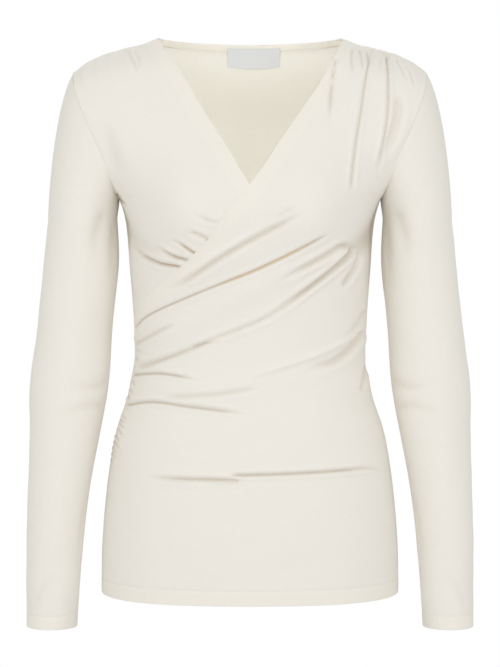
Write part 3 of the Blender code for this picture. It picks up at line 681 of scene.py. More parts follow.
def sheet_piece(name, grid, node, material):
    """A panel in the scene: it stands for its solid and rides on the body."""
    piece = bpy.data.objects.new(name, mesh_of(name, grid))
    bpy.context.scene.collection.objects.link(piece)
    piece.data.materials.append(material)
    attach(piece, "root")
    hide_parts(node)
    print(f"{name}: {len(piece.data.polygons)} faces")


# %% [markdown]
# ## Finishes
#
# Viscose jersey is a very fine knit: upright wales less than a millimetre apart, crossed by
# courses, with a soft low sheen and almost no shine. Painted maps could show it, but a pattern
# worked out from the flat map stays sharp at any size and follows the cloth round every fold.
# The label is woven satin, smoother and cooler in colour. Shader sums are easier to read as
# sums, so a small class lets a socket be added to and multiplied.


# %% Shader sums as Python sums
class Wire:
    """A socket or a number of one material's nodes, which can be reckoned with."""

    def __init__(self, tree, socket):
        self.tree, self.socket = tree, socket

    def node(self, kind, settings=None, out=0, **inputs):
        """Add a node: its settings first, then its inputs, which are values or wires."""
        made = self.tree.nodes.new(kind)
        for key, value in (settings or {}).items():
            setattr(made, key, value)
        for key, value in inputs.items():
            numbered = key[1:].isdigit()
            socket = made.inputs[int(key[1:]) if numbered else key.replace("_", " ")]
            if isinstance(value, Wire):
                self.tree.links.new(value.socket, socket)
            else:
                socket.default_value = value
        return Wire(self.tree, made.outputs[out])

    def sum(self, operation, a, b=0.0):
        return self.node("ShaderNodeMath", {"operation": operation}, i0=a, i1=b)

    def __add__(self, other):
        return self.sum("ADD", self, other)

    def __radd__(self, other):
        return self.sum("ADD", other, self)

    def __sub__(self, other):
        return self.sum("SUBTRACT", self, other)

    def __mul__(self, other):
        return self.sum("MULTIPLY", self, other)

    def sin(self):
        return self.sum("SINE", self)

    def mix(self, low, high):
        """A colour between two others, by this wire."""
        settings = {"data_type": "RGBA"}
        return self.node("ShaderNodeMix", settings, out=2, i0=self, i6=low, i7=high)

    def times(self, colour):
        settings = {"operation": "MULTIPLY"}
        return self.node("ShaderNodeVectorMath", settings, i0=self, i1=colour)


def finish(name, roughness, specular, sheen=0.0):
    """A new material: its shader, and a wire to start from."""
    made = bpy.data.materials.new(name)
    made.use_nodes = True
    shader = made.node_tree.nodes["Principled BSDF"]
    shader.inputs["Roughness"].default_value = roughness
    shader.inputs["Sheen Weight"].default_value = sheen
    shader.inputs["Sheen Roughness"].default_value = 0.5
    shader.inputs["Sheen Tint"].default_value = (1, 1, 1, 1)
    shader.inputs["Specular IOR Level"].default_value = specular
    return made, shader, Wire(made.node_tree, None)


def feed(shader, wire, name):
    wire.tree.links.new(wire.socket, shader.inputs[name])


def flat_map(w):
    """The place on the flat cloth, and how far across and along the cloth it is."""
    flat = w.node("ShaderNodeUVMap", {"uv_map": "flat"})
    parts = w.node("ShaderNodeSeparateXYZ", i0=flat)
    return flat, parts, Wire(w.tree, parts.socket.node.outputs[1])


# %% The jersey
CREAM = (0.865, 0.835, 0.765, 1)
CREAM_DOUBLE = (0.880, 0.845, 0.765, 1)  # where the cloth is double, less light comes through
# painted shade: the cloth turns greyer where a crease, hollow or seam line is shallow, and warm where a
# crease is deep
SHADE = (0.68, 0.615, 0.52, 1)  # in a shallow crease
DEEP_CREASE_PAINTED_SHADE = (0.84, 0.645, 0.36, 1)  # at the bottom of a deep one
WALE, COURSE = 0.85 * MM, 0.62 * MM  # from one wale, and one course, to the next
CLOUDS, FIBRES = 150.0, 1400.0  # how fine the faint clouds and the fibres are


def jersey():
    made, shader, w = finish("cream jersey", 0.86, sheen=0.12, specular=0.25)
    flat, u, v = flat_map(w)
    cloud = w.node("ShaderNodeTexNoise", i2=CLOUDS, i3=3.0, Vector=flat)
    fibre = w.node("ShaderNodeTexNoise", i2=FIBRES, i3=2.0, Vector=flat)
    wale = (u * (2 * math.pi / WALE) + (cloud - 0.5) * 2.0).sin()
    course = (v * (2 * math.pi / COURSE)).sin()
    knit = wale * 0.5 + course * wale * 0.22 + (fibre - 0.5) * 0.9
    painted_shade = w.node("ShaderNodeAttribute", {"attribute_name": "painted_shade"}, out=2)
    double = w.node("ShaderNodeAttribute", {"attribute_name": "double"}, out=2)
    base = double.mix(CREAM, CREAM_DOUBLE)
    mottled = (0.985 + cloud * 0.03) + knit * 0.004
    base = base.times(w.node("ShaderNodeCombineXYZ", i0=mottled, i1=mottled, i2=mottled))
    # painted shade of creases, hollows and seam lines, from the attribute: greyer first, then warm where
    # it is strong
    shaded = (painted_shade * 2).mix(base, SHADE)
    feed(shader, (painted_shade * 2 - 1).mix(shaded, DEEP_CREASE_PAINTED_SHADE), "Base Color")
    feed(shader, 0.83 + cloud * 0.08, "Roughness")
    bump = w.node("ShaderNodeBump", Strength=0.22, Distance=0.12 * MM, Height=knit)
    broad = w.node("ShaderNodeBump", Strength=0.10, Distance=1.2 * MM, Height=cloud, Normal=bump)
    feed(shader, broad, "Normal")
    return made


JERSEY = jersey()


# %% The satin label and the thread
SATIN_COLOURS = (0.69, 0.695, 0.705, 1), (0.735, 0.74, 0.75, 1)
THREAD_COLOURS = (0.83, 0.79, 0.70, 1), (0.88, 0.85, 0.77, 1)
WEFT, WARP = 0.22 * MM, 0.30 * MM


def satin():
    made, shader, w = finish("blank satin label", 0.42, sheen=0.1, specular=0.4)
    flat, u, v = flat_map(w)
    cloud = w.node("ShaderNodeTexNoise", i2=260.0, i3=2.0, Vector=flat)
    weft = (v * (2 * math.pi / WEFT)).sin()
    warp = (u * (2 * math.pi / WARP) + weft * 0.6).sin()
    weave = weft * 0.6 + warp * 0.25
    shade = 0.5 + weave * 0.08 + (cloud - 0.5) * 0.5
    feed(shader, shade.mix(*SATIN_COLOURS), "Base Color")
    feed(shader, 0.40 + cloud * 0.08, "Roughness")
    feed(shader, w.node("ShaderNodeBump", Strength=0.25, Distance=0.05 * MM, Height=weave), "Normal")
    return made


def thread():
    made, shader, w = finish("cream thread", 0.7, sheen=0.1, specular=0.35)
    place = w.node("ShaderNodeTexCoord", out=3)
    twist = w.node("ShaderNodeTexNoise", i2=2500.0, i3=2.0, Vector=place)
    feed(shader, twist.mix(*THREAD_COLOURS), "Base Color")
    feed(shader, 0.62 + twist * 0.16, "Roughness")
    feed(shader, w.node("ShaderNodeBump", Strength=0.3, Distance=0.08 * MM, Height=twist), "Normal")
    return made


SATIN, THREAD = satin(), thread()
print("finishes:", JERSEY.name, "|", SATIN.name, "|", THREAD.name)

# %% [markdown]
# ## Stitches
#
# A hem in jersey is sewn with a short stitch that sinks a little into the cloth. The stitch is
# modelled once, as a stubby rounded rod, and copied along the line. Hundreds of separate
# objects would be slow, so the copies are joined in one mesh.

# %% One stitch, and a line of them
STITCH = {"long": 2.1, "thick": 0.46, "pitch": 2.7, "sides": 6}
STITCH_END = {"long": 0.2, "thick": 0.45}  # each end's length and its thickness, as shares


def stitch_shape():
    """The corners and faces of one stitch, along X."""
    bpy.ops.object.select_all(action="DESELECT")
    bpy.ops.mesh.primitive_cylinder_add(
        vertices=STITCH["sides"], radius=STITCH["thick"] / 2,
        depth=STITCH["long"] * (1 - 2 * STITCH_END["long"]), rotation=(0, math.pi / 2, 0),
    )
    rod = bpy.context.object
    bpy.ops.object.transform_apply(location=True, rotation=True, scale=True)
    bpy.ops.object.mode_set(mode="EDIT")
    bpy.ops.mesh.select_all(action="DESELECT")
    bpy.ops.object.mode_set(mode="OBJECT")
    for end in rod.data.polygons:
        end.select = abs(end.normal.x) > 0.9
    bpy.ops.object.mode_set(mode="EDIT")
    outward_by = {"value": STITCH["long"] * STITCH_END["long"]}
    bpy.ops.mesh.extrude_region_shrink_fatten(TRANSFORM_OT_shrink_fatten=outward_by)
    bpy.ops.transform.resize(value=(1, STITCH_END["thick"], STITCH_END["thick"]))
    bpy.ops.object.mode_set(mode="OBJECT")
    corners = np.array([v.co[:] for v in rod.data.vertices])
    faces = [list(p.vertices) for p in rod.data.polygons]
    bpy.data.objects.remove(rod)
    return corners, faces


STITCH_CORNERS, STITCH_FACES = stitch_shape()


def stitch_line(name, line):
    """Stitches along a line of points, each point with the direction out of the cloth."""
    walked = np.cumsum(np.linalg.norm(np.diff(line[:, POINT], axis=0), axis=1))
    walked = np.append(0, walked)
    at = np.arange(STITCH["pitch"] / 2, walked[-1], STITCH["pitch"])
    found = np.stack([np.interp(at, walked, column) for column in line.T], -1)
    middle, up = found[:, POINT], unit(found[:, OUT])
    ahead = unit(np.gradient(middle, axis=0))
    aside = unit(np.cross(up, ahead))
    corners, faces = [], []
    for spot, *axes in zip(middle, ahead, aside, up):
        first = len(corners) * len(STITCH_CORNERS)
        corners.append(spot + STITCH_CORNERS @ np.array(axes))
        faces += [[first + k for k in face] for face in STITCH_FACES]
    mesh = bpy.data.meshes.new(name)
    mesh.from_pydata(np.concatenate(corners) * MM, [], faces)
    mesh.shade_smooth()
    piece = bpy.data.objects.new(name, mesh)
    bpy.context.scene.collection.objects.link(piece)
    mesh.materials.append(THREAD)
    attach(piece, "root")
    print(f"{name}: {len(corners)} stitches")


# %% [markdown]
# ## The hem and the seams
#
# The hem is turned up 17 mm and sewn along its upper edge, which leaves a fine groove there
# and a slightly fuller strip below. Seam allowances are 8 mm. The crossing edges have a 16 mm
# turn-in, which shows as a paler strip where the light falls through single cloth beside it.

# %% Allowances
SEAM = {"radius": 0.35, "depth": 8.0, "gap": 0.05}
EDGE_DEPTH = 16.0  # of a crossing edge's turn-in
HEM_TURN = {"radius": 0.7, "depth": 17.5, "gap": 0.0}
NECK_SEAM_DEPTH = 1.6
# rows of points above the hem, closer at its edge and along the stitching
HEM_ROWS = (0, 1, 3, 6, 9, 12, 14.5, 16, 16.8, 17.5, 18.2, 19, 20.5, 23)
HEM_GROOVE = {"deep": 0.22, "wide": 1.2}  # where the stitching sinks in
HEM_FULL = {"by": 0.2, "over": 3}  # how much fuller the double cloth below it stands
# painted shade along the armhole seams
ARMHOLE_LINE = {"painted_shade": 0.5, "wide": 0.004}
EASED_ROWS = 4
EDGE_LINE_POINTS = 120


def hem_relief(above, line):
    """How a sewn hem moves the cloth, at this distance above its edge."""
    groove = HEM_GROOVE["deep"] * np.exp(-(((above - line) / HEM_GROOVE["wide"]) ** 2))
    return HEM_FULL["by"] * ramp((line - above) / HEM_FULL["over"]) - groove


def doubled(above, depth):
    """1 where the turned-in layer lies behind, at this distance from the edge."""
    return ramp((depth - above) / 2 + 0.5)


def eased(flags):
    """Smooth a row-by-row switch, so that one kind of edge runs into the next."""
    kernel = np.ones(2 * EASED_ROWS + 1) / (2 * EASED_ROWS + 1)
    return np.convolve(np.pad(flags, EASED_ROWS, mode="edge"), kernel, mode="valid")


def sides_in(grid, right_edge=0, left_edge=0):
    """Turn both sides of a panel in: a seam allowance, or a deeper turn-in where a side is a
    crossing edge."""
    for name, on_edge in (("right", right_edge), ("left", left_edge)):
        share = eased(np.broadcast_to(on_edge, len(grid)))
        depth = SEAM["depth"] + (EDGE_DEPTH - SEAM["depth"]) * share
        grid = turn_in(grid, name, SEAM["radius"], depth, SEAM["gap"])
    return grid


def armhole_seam(s, t):
    """The painted shade of the fine line where a sleeve is sewn in."""
    line = np.exp(-(((1 - np.abs(s)) / ARMHOLE_LINE["wide"]) ** 2))
    return ARMHOLE_LINE["painted_shade"] * line * (t > T_UNDERARM)


def from_edge(edge, x, z):
    """The distance of each point from a crossing edge, over its whole length."""
    _, off = nearest(edge_line(edge, EDGE_LINE_POINTS), x, z)
    return np.abs(off)


def hem_line(grid, rows, turn):
    """The outer points of a turned hem along its stitching."""
    return grid[TURNED - 1 + rows.index(turn["depth"]), TURNED:-TURNED]


# %% [markdown]
# ## The over front
#
# The wearer's left front is the piece that is seen most. It lies smooth over the bust and the
# hips, and its spare cloth runs into the right side seam and the left shoulder seam. Its rows
# of points run the way the creases run, which lets a modest grid hold sharp ones.

# %% The over front's grid
OVER_COLUMNS = 190
OVER_BANDS = [
    (HEM_ROWS, "seam", -645, -622, "seam", -645, -622),
    (38, "seam", -622, -492, "seam", -622, -520),
    (70, "seam", -492, -425, "seam", -520, -440),
    (130, "seam", -425, -331, "seam", -440, -265),
    (96, "edge", 0.0, 0.5, "seam", -265, -187),
    (92, "edge", 0.5, 1.0, "armhole", 0.0, 1.0),
]
# how far the over front stands off the under front at its crossing edge, and further in at the
# waist, and between which heights and how far round it does so, each with the way over which it
# eases
EDGE_PROUD, PROUD, PROUD_OVER = 0.1, 1.6, 25
PROUD_FROM, PROUD_TO, PROUD_ROUND = (-430, 40), (-205, 60), (150, 30)
LOWEST_OVER, LOWEST_EASE = -4.6, 0.5  # as far in as its creases may go there
BELOW_UNDER_HEM = 8
LEFT_SHOULDER_GATHERS = (13, 2.4, 11)  # how many, how high and how long
GATHERED = {"middle": 0.42, "wide": 0.2}  # the part of the left shoulder that is gathered
ROLLS = [  # the broad rolls between the creases
    (((-126, -312), (-30, -262), (84, -206)), 9.0, 9.0, 1.4, 0.0, 0.0, 2.0, 0.2, 0.5, 0.0),
    (((-128, -352), (-20, -300), (108, -232)), 12.0, 14.0, 2.0, 0.0, 0.0, 2.0, 0.2, 0.5, 0.0),
    (((-130, -402), (60, -386)), 8.0, 8.0, 1.2, 0.0, 0.0, 2.0, 0.2, 0.6, 0.0),
]


def soft_floor(a, low, ease):
    """The larger of a and low, with a soft corner."""
    return low + ease * np.logaddexp(0, (a - low) / ease)


CLOSER = {"by": 1.5, "over": 0.06}


def closer_at_right(columns):
    """Shares of a row from 0 to 1, closer together at the right side, where the puckers are."""
    even = np.linspace(0, 1, 400)
    density = 1 + CLOSER["by"] * np.exp(-((even / CLOSER["over"]) ** 2))
    passed = np.append(0, np.cumsum((density[1:] + density[:-1]) / 2))
    return np.interp(np.linspace(0, passed[-1], columns + 1), passed, even)


def over_front():
    across = closer_at_right(OVER_COLUMNS)[None, :]
    s, t, (right_edge, left_edge) = lattice(OVER_BANDS, across, OVER_EDGE)
    s, t = drawn_in(OVER_CREASES + SHOULDER_PLEATS, OVER_EDGE, s, t)
    base = form(FRONT, s, t)
    x, z, above_hem, below_seam = base[..., 0], base[..., 2], -t * HEM, HEM * (t - 1)
    moved, painted_shade = creases(OVER_CREASES + SHOULDER_PLEATS + SEAM_PUCKERS + ROLLS, x, z)
    waist = ramp((z - PROUD_FROM[0]) / PROUD_FROM[1]) * ramp((PROUD_TO[0] - z) / PROUD_TO[1])
    waist *= ramp((PROUD_ROUND[0] - np.abs(x)) / PROUD_ROUND[1])
    inside = from_edge(OVER_EDGE, x, z)
    moved += (EDGE_PROUD + (PROUD - EDGE_PROUD) * ramp(inside / PROUD_OVER)) * waist
    moved = np.where(z > UNDER_HEM - BELOW_UNDER_HEM, soft_floor(moved, LOWEST_OVER, LOWEST_EASE), moved)
    hollow, shade = creases(HOLLOWS, x, z)
    gathered = np.exp(-(((across - GATHERED["middle"]) / GATHERED["wide"]) ** 2))
    moved += gathers(*LEFT_SHOULDER_GATHERS, across, below_seam) * gathered
    moved += (hollow + drift(x, z, 1)) * sewn(s)
    moved += hem_relief(above_hem, HEM_TURN["depth"])
    painted_shade = painted_shade + shade + armhole_seam(s, t)
    double = np.maximum(doubled(inside, EDGE_DEPTH), doubled(above_hem, HEM_TURN["depth"]))
    grid = panel(FRONT, s, t, moved, painted_shade, double)
    grid = turn_in(sides_in(grid, right_edge, left_edge), "top", **SEAM)
    return turn_in(grid, "bottom", **HEM_TURN)


over_grid = over_front()
stitch_line("over_front_hem_stitches", hem_line(over_grid, HEM_ROWS, HEM_TURN))
sheet_piece("over_front_jersey", over_grid, "over_front", JERSEY)

# %% [markdown]
# ## The under front
#
# The wearer's right front shows only above the crossing edge. A few short folds are caught
# under that edge. Below it the piece drops back a little and stays out of sight.

# %% The under front's grid
UNDER_COLUMNS = 190
RIGHT_SHOULDER_GATHERS = (6, 0.8, 34)
UNDER_EDGE_CLEAR = (4, 10)  # how far outside the over front's edge the folds start, and fade in
UNDER_BANDS = [
    (14, "seam", UNDER_HEM, -340, "seam", UNDER_HEM + 12, -331),
    (130, "seam", -340, -187, "edge", 0.0, 0.5),
    (96, "armhole", 0.0, 1.0, "edge", 0.5, 1.0),
]
# how far the under front drops: where it starts outside the over front's edge, over what
# distance, and by how much
DROPS = [(-3, 6, 0.75), (3, 6, 1.8), (6, 14, 3.6)]


def under_the_wrap(x, z, start, reach):
    """1 where the under front lies below the over front, 0 well outside the crossing edge."""
    edge_x, edge_z = edge_line(OVER_EDGE, 200).T
    beside = x - np.interp(z, edge_z, edge_x)
    return np.where(z < OVER_EDGE[0][1], 1.0, ramp((beside - start) / reach))


def under_front():
    across = np.linspace(0, 1, UNDER_COLUMNS + 1)[None, :]
    s, t, (right_edge, left_edge) = lattice(UNDER_BANDS, across, UNDER_EDGE)
    s, t = drawn_in(UNDER_CREASES, UNDER_EDGE, s, t)
    base = form(FRONT, s, t)
    x, z, below_seam = base[..., 0], base[..., 2], HEM * (t - 1)
    moved, painted_shade = creases(UNDER_CREASES, x, z)
    hollow, shade = creases(HOLLOWS, x, z)
    moved = moved * (1 - under_the_wrap(x, z, *UNDER_EDGE_CLEAR)) + (hollow + drift(x, z, 1)) * sewn(s)
    moved += gathers(*RIGHT_SHOULDER_GATHERS, across, below_seam)
    moved -= sum(drop * under_the_wrap(x, z, start, reach) for start, reach, drop in DROPS)
    painted_shade = painted_shade + shade + armhole_seam(s, t)
    double = doubled(from_edge(UNDER_EDGE, x, z), EDGE_DEPTH)
    grid = panel(FRONT, s, t, moved, painted_shade, double)
    return turn_in(sides_in(grid, right_edge, left_edge), "top", **SEAM)


sheet_piece("under_front_jersey", under_front(), "under_front", JERSEY)

# %% [markdown]
# ## The back
#
# One piece, with a shallow scooped neck and its half of the hem. Its folds are softer than
# the front's: a few across the small of the back, and two drags from the underarms.

# %% The back's grid
BACK_BANDS = [
    (HEM_ROWS, "seam", -645, -622, "seam", -645, -622),
    (44, "seam", -622, -500, "seam", -622, -500),
    (96, "seam", -500, -300, "seam", -500, -300),
    (44, "seam", -300, -187, "seam", -300, -187),
    (84, "armhole", 0.0, 1.0, "armhole", 0.0, 1.0),
]
BACK_SHOULDER_COLUMNS, BACK_NECK_COLUMNS = 40, 96


def back_across():
    """Shares of a back row, set so that the top row has even steps round the neck."""
    neck = BACK_NECK["half_width"]
    neck_x = neck * np.sin(np.radians(np.linspace(-90, 90, BACK_NECK_COLUMNS + 1)))
    outer_x = np.linspace(-ARMHOLE_TOP, -neck, BACK_SHOULDER_COLUMNS + 1)[:-1]
    x = np.concatenate([outer_x, neck_x, -outer_x[::-1]])
    s = np.arcsin(np.clip(x / ARMHOLE_TOP * math.sin(SHOULDER_SWING), -1, 1)) / SHOULDER_SWING
    return (s + 1) / 2


def back():
    s, t, _ = lattice(BACK_BANDS, back_across()[None, :])
    base = form(BACK, s, t)
    x, z, above_hem = base[..., 0], base[..., 2], -t * HEM
    moved, painted_shade = creases(BACK_CREASES, x, z)
    moved = (moved + drift(x, z, 3)) * sewn(s) + hem_relief(above_hem, HEM_TURN["depth"])
    grid = panel(BACK, s, t, moved, painted_shade, doubled(above_hem, HEM_TURN["depth"]))
    grid = sides_in(grid)
    at_neck = ramp((BACK_NECK["half_width"] + 3 - np.abs(grid[-1, :, 0])) / 6)
    depth = SEAM["depth"] + (NECK_SEAM_DEPTH - SEAM["depth"]) * at_neck
    grid = turn_in(grid, "top", SEAM["radius"], depth, SEAM["gap"])
    return turn_in(grid, "bottom", **HEM_TURN)


back_grid = back()
stitch_line("back_hem_stitches", hem_line(back_grid, HEM_ROWS, HEM_TURN))
sheet_piece("back_jersey", back_grid, "back", JERSEY)

# %% [markdown]
# ## Sleeves
#
# Each sleeve is cut flat and sewn into a tube, so its grid is open and its two long edges meet
# in an underarm seam. The cap leaves the armhole and bends down into the arm. The sleeves are
# fitted and almost smooth, with soft drags under the arm and inside the elbow.

# %% A sleeve's grid
SLEEVE_COLUMNS = 112
CAP_SHARES = np.linspace(0, 1, 57)
CUFF_TURN = {"radius": 0.7, "depth": 16.0, "gap": 0.0}
# how far a sleeve's edge lies in from the panels' sides and under them, and the share of the
# armhole over which it gets there from the underarm
OVERLAP = {"in": 1.3, "under": 0.45, "from": 0.12}
NEAR_SIDE, BELOW = 0.02, 0.01  # steps in s and t that give a side's own directions
CUFF_ROWS = (0, 1, 3, 6, 9, 12, 14, 15.2, 16.0, 16.8, 18, 20, 23)
SLEEVE_ROWS = 170
DRIFT_FROM = 60  # how far below the underarm a sleeve hangs free
AROUND = 42.0  # a sleeve's mean radius, which turns an angle into a distance for its creases
SLEEVE_CREASES = [  # the routes are the distance round from the underarm seam, and the height
    (((34, -196), (48, -230), (52, -262)), 7.0, 8.0, -1.8, 0.3, 0.3, 1.8, 0.2, 0.6, 0.15),
    (((18, -206), (24, -250), (22, -300)), 6.0, 7.0, -1.3, 0.3, 0.2, 1.8, 0.2, 0.6, 0.12),
    (((246, -196), (226, -232), (216, -270)), 7.0, 8.0, -1.8, 0.3, 0.3, 1.8, 0.2, 0.6, 0.15),
    (((250, -300), (216, -330), (176, -346)), 7.0, 9.0, -1.2, 0.3, 0.3, 1.9, 0.4, 0.5, 0.08),
    (((6, -392), (34, -402), (70, -398)), 6.0, 7.0, -1.2, 0.3, 0.3, 1.9, 0.2, 0.6, 0.12),
    (((8, -430), (40, -424), (84, -436)), 6.0, 7.0, -1.0, 0.3, 0.3, 1.9, 0.2, 0.6, 0.10),
    (((196, -404), (226, -396), (258, -406)), 7.0, 6.0, -1.2, 0.3, 0.3, 1.9, 0.6, 0.2, 0.10),
    (((12, -520), (20, -570), (16, -620)), 6.0, 6.0, -0.7, 0.2, 0.2, 2.0, 0.4, 0.5, 0.06),
    (((200, -560), (224, -600), (230, -650)), 6.0, 6.0, -0.7, 0.2, 0.2, 2.0, 0.4, 0.4, 0.06),
    (((60, -612), (84, -640), (96, -672)), 6.0, 6.0, -0.6, 0.2, 0.2, 2.0, 0.4, 0.4, 0.06),
]


def under_the_side(face, hand, t, tuck):
    """The side of the front or back, moved in and under it by tuck times the overlap."""
    edge = form(face, float(hand), t)
    into = unit(form(face, hand * (1 - NEAR_SIDE), t) - edge)
    out = unit(np.cross(into, edge - form(face, float(hand), t - BELOW)))
    away = np.sign((out * edge * (1, 1, 0)).sum(-1, keepdims=True))
    return edge + tuck[:, None] * (OVERLAP["in"] * into - OVERLAP["under"] * away * out)


def armhole_loop(hand, turn):
    """The armhole, from the underarm round the front to the shoulder and down the back. The
    sleeve starts just under the sides of the front and the back, so no light comes through."""
    share = 1 - np.abs(1 - turn / math.pi)
    t = T_UNDERARM + share * (1 - T_UNDERARM)
    tuck = ramp(share / OVERLAP["from"])
    front, rear = (under_the_side(face, hand, t, tuck) for face in (FRONT, BACK))
    return np.where((turn < math.pi)[:, None], front, rear), share


def sleeve_ring(hand, height, turn):
    x = sleeve["out"](height) - sleeve["half_x"](height) * np.cos(turn)
    y = sleeve["centre_y"](height) - sleeve["half_y"](height) * np.sin(turn)
    return np.stack([hand * x, y, np.broadcast_to(height, x.shape)], -1)


def cap(hand, turn):
    """The rows from the armhole down to the first full ring of the arm."""
    loop, share = armhole_loop(hand, turn)
    ring = sleeve_ring(hand, np.array(SLEEVE[0][0], float), turn)
    reach = CAP_REACH["underarm"] + (CAP_REACH["top"] - CAP_REACH["underarm"]) * share
    leave = unit(np.stack([hand * 0.58 * share, 0 * share, -1 + 0.19 * share], -1)) * reach[:, None]
    arrive = np.array([0, 0, -1]) * (reach * 1.1)[:, None]
    q = CAP_SHARES[:, None, None]
    a, b = 2 * q**3 - 3 * q**2 + 1, 3 * q**2 - 2 * q**3
    c, d = q**3 - 2 * q**2 + q, q**3 - q**2
    return a * loop + b * ring + c * leave + d * arrive


def sleeve_panel(hand):
    turn = np.linspace(0, 2 * math.pi, SLEEVE_COLUMNS + 1)
    top = SLEEVE[0][0]
    near_cuff = CUFF + np.array(CUFF_ROWS, float)
    heights = np.append(np.linspace(top, near_cuff[-1], SLEEVE_ROWS)[1:], near_cuff[-2::-1])
    rings = sleeve_ring(hand, heights[:, None], turn[None, :])
    points = np.concatenate([cap(hand, turn), rings])
    down, round_arm = np.gradient(points, axis=0), np.gradient(points, axis=1)
    out = unit(np.cross(round_arm, down)) * -hand
    z = points[..., 2]
    round_by = np.broadcast_to(turn * AROUND, z.shape)
    moved, painted_shade = creases(SLEEVE_CREASES, round_by, z)
    above_cuff = z - CUFF
    moved += drift(round_by, z, 4 + hand) * ramp((UNDERARM - z) / DRIFT_FROM)
    moved *= sewn(turn / math.pi - 1)
    moved += hem_relief(above_cuff, CUFF_TURN["depth"])
    double = doubled(above_cuff, CUFF_TURN["depth"])
    flat = np.stack([round_by, z - UNDERARM], -1)
    grid = np.concatenate([points + moved[..., None] * out, out, flat,
                           painted_shade[..., None], double[..., None]], -1)[::-1]
    grid = turn_in(sides_in(grid), "top", **SEAM)
    return turn_in(grid, "bottom", **CUFF_TURN)


for hand, node in ((RIGHT, "sleeve_right"), (LEFT, "sleeve_left")):
    grid = sleeve_panel(hand)
    cuff = f"{node}_cuff_stitches"
    stitch_line(cuff, hem_line(grid, CUFF_ROWS, CUFF_TURN))
    sheet_piece(f"{node}_jersey", grid, node, JERSEY)

# %% [markdown]
# ## The neck band and the label
#
# The band is a strip folded in two along its length. It stands on the back's neck seam, so its upper
# edge is a soft fold and a thin line runs below it: a pinched groove, with painted shade along it. The
# label is sewn to it and hangs free along its lower edge. It is left blank.

# %% The band, as one folded strip
BAND_COLUMNS = 110
BAND_ROLL = 0.75  # the radius of its folded upper edge
BAND_TALL = 10.0  # one layer of it, laid flat
BAND_HEIGHTS = (-0.12, 0.0, 0.04, 0.09, 0.35, 0.65, 0.85)  # of a layer's rows, as shares
BAND_PINCH = {"at": 0.02, "wide": 0.06, "by": 0.8}  # at its seam
# painted shade along the band's seam line
BAND_LINE = {"wide": 0.04, "painted_shade": 0.8}
# the ends' way on under the shoulder seams
BAND_TAIL = np.array([[1.5, 0, -1.5], [4, 0, -3.4], [8, 0, -6]])


def band_point(turn, share):
    """A point of the band: turn runs round the neck, and share from the back's seam upward."""
    across, around = np.sin(turn), np.cos(turn)
    s = np.arcsin(BACK_NECK["half_width"] * across / ARMHOLE_TOP * math.sin(SHOULDER_SWING))
    low = form(BACK, s / SHOULDER_SWING, 1.0)
    around = np.maximum(around, 0)
    low[..., 2] = -BAND_SEAM["ends"] - (BAND_SEAM["below"] - BAND_SEAM["ends"]) * around**2.3
    drop = BAND_TOP["ends"] + (BAND_TOP["below"] - BAND_TOP["ends"]) * around**1.5
    high = (BAND_TOP["half_width"] * across, SHOULDER_Y + BAND_TOP["behind"] * around, -drop)
    point = low + (np.stack(high, -1) - low) * share
    point[..., 1] -= BAND_TOP["reach"] * ramp(1 - around / 0.2)
    return point


def caught(line):
    """A line of the band, with its ends carried on under the shoulder seams that hold them."""
    right, left = line[:1] + BAND_TAIL[::-1] * (-1, 1, 1), line[-1:] + BAND_TAIL
    return np.concatenate([right, line, left])


def neck_band():
    turn = np.radians(np.linspace(-90, 90, BAND_COLUMNS + 1))
    low, high = (caught(band_point(turn, share)) for share in (0.0, 1.0))
    turn = np.pad(turn, len(BAND_TAIL), mode="edge")
    up, round_neck = unit(high - low), unit(np.gradient(low, axis=0))
    outside = unit(np.cross(up, round_neck))
    away = np.stack([np.sin(turn), np.cos(turn), 0 * turn], -1)
    outside *= np.sign((outside * away).sum(-1, keepdims=True))
    tall = np.linalg.norm(high - low, axis=-1)[:, None]
    profile = [(k, math.pi / 2) for k in BAND_HEIGHTS]
    profile += [(1 - BAND_ROLL / 9, math.radians(a)) for a in range(90, -91, -30)]
    profile += [(k, -math.pi / 2) for k in BAND_HEIGHTS[::-1]]
    rows = []
    for k, angle in profile:
        near_seam = np.exp(-(((k - BAND_PINCH["at"]) / BAND_PINCH["wide"]) ** 2))
        thick = BAND_ROLL * (1 - BAND_PINCH["by"] * near_seam)
        upward = up * (tall * k + BAND_ROLL * math.cos(angle))
        rows.append(low + upward + outside * thick * math.sin(angle))
    points = np.array(rows)
    out = np.array([outside * math.sin(a) + up * math.cos(a) for _, a in profile])
    length = np.append(0, np.cumsum(np.linalg.norm(np.diff(low, axis=0), axis=1)))
    depth = np.array([(k if a > 0 else 2 - k) * BAND_TALL for k, a in profile])
    flat = np.stack(np.broadcast_arrays(depth[:, None], length[None, :]), -1)
    heights = np.array([k for k, _ in profile])
    line = np.exp(-(((heights - BAND_PINCH["at"]) / BAND_LINE["wide"]) ** 2))
    painted_shade = np.broadcast_to(BAND_LINE["painted_shade"] * line[:, None], flat.shape[:2])
    return np.concatenate([points, out, flat, painted_shade[..., None], np.ones((*painted_shade.shape, 1))], -1)


sheet_piece("neck_band_jersey", neck_band(), "neck_band", JERSEY)


# %% The blank label
LABEL_GRID = (65, 31)  # points across and down
# how far the label stands off the band, and how much its lower edge bellies out and sags
LABEL_OFF, LABEL_BELLY, LABEL_SAG = 1.5, 1.6, 1.1
LABEL_TURNS = {"right": 5.0, "left": 5.0, "top": 4.0, "bottom": 4.0}
LABEL_ROLL = 0.25


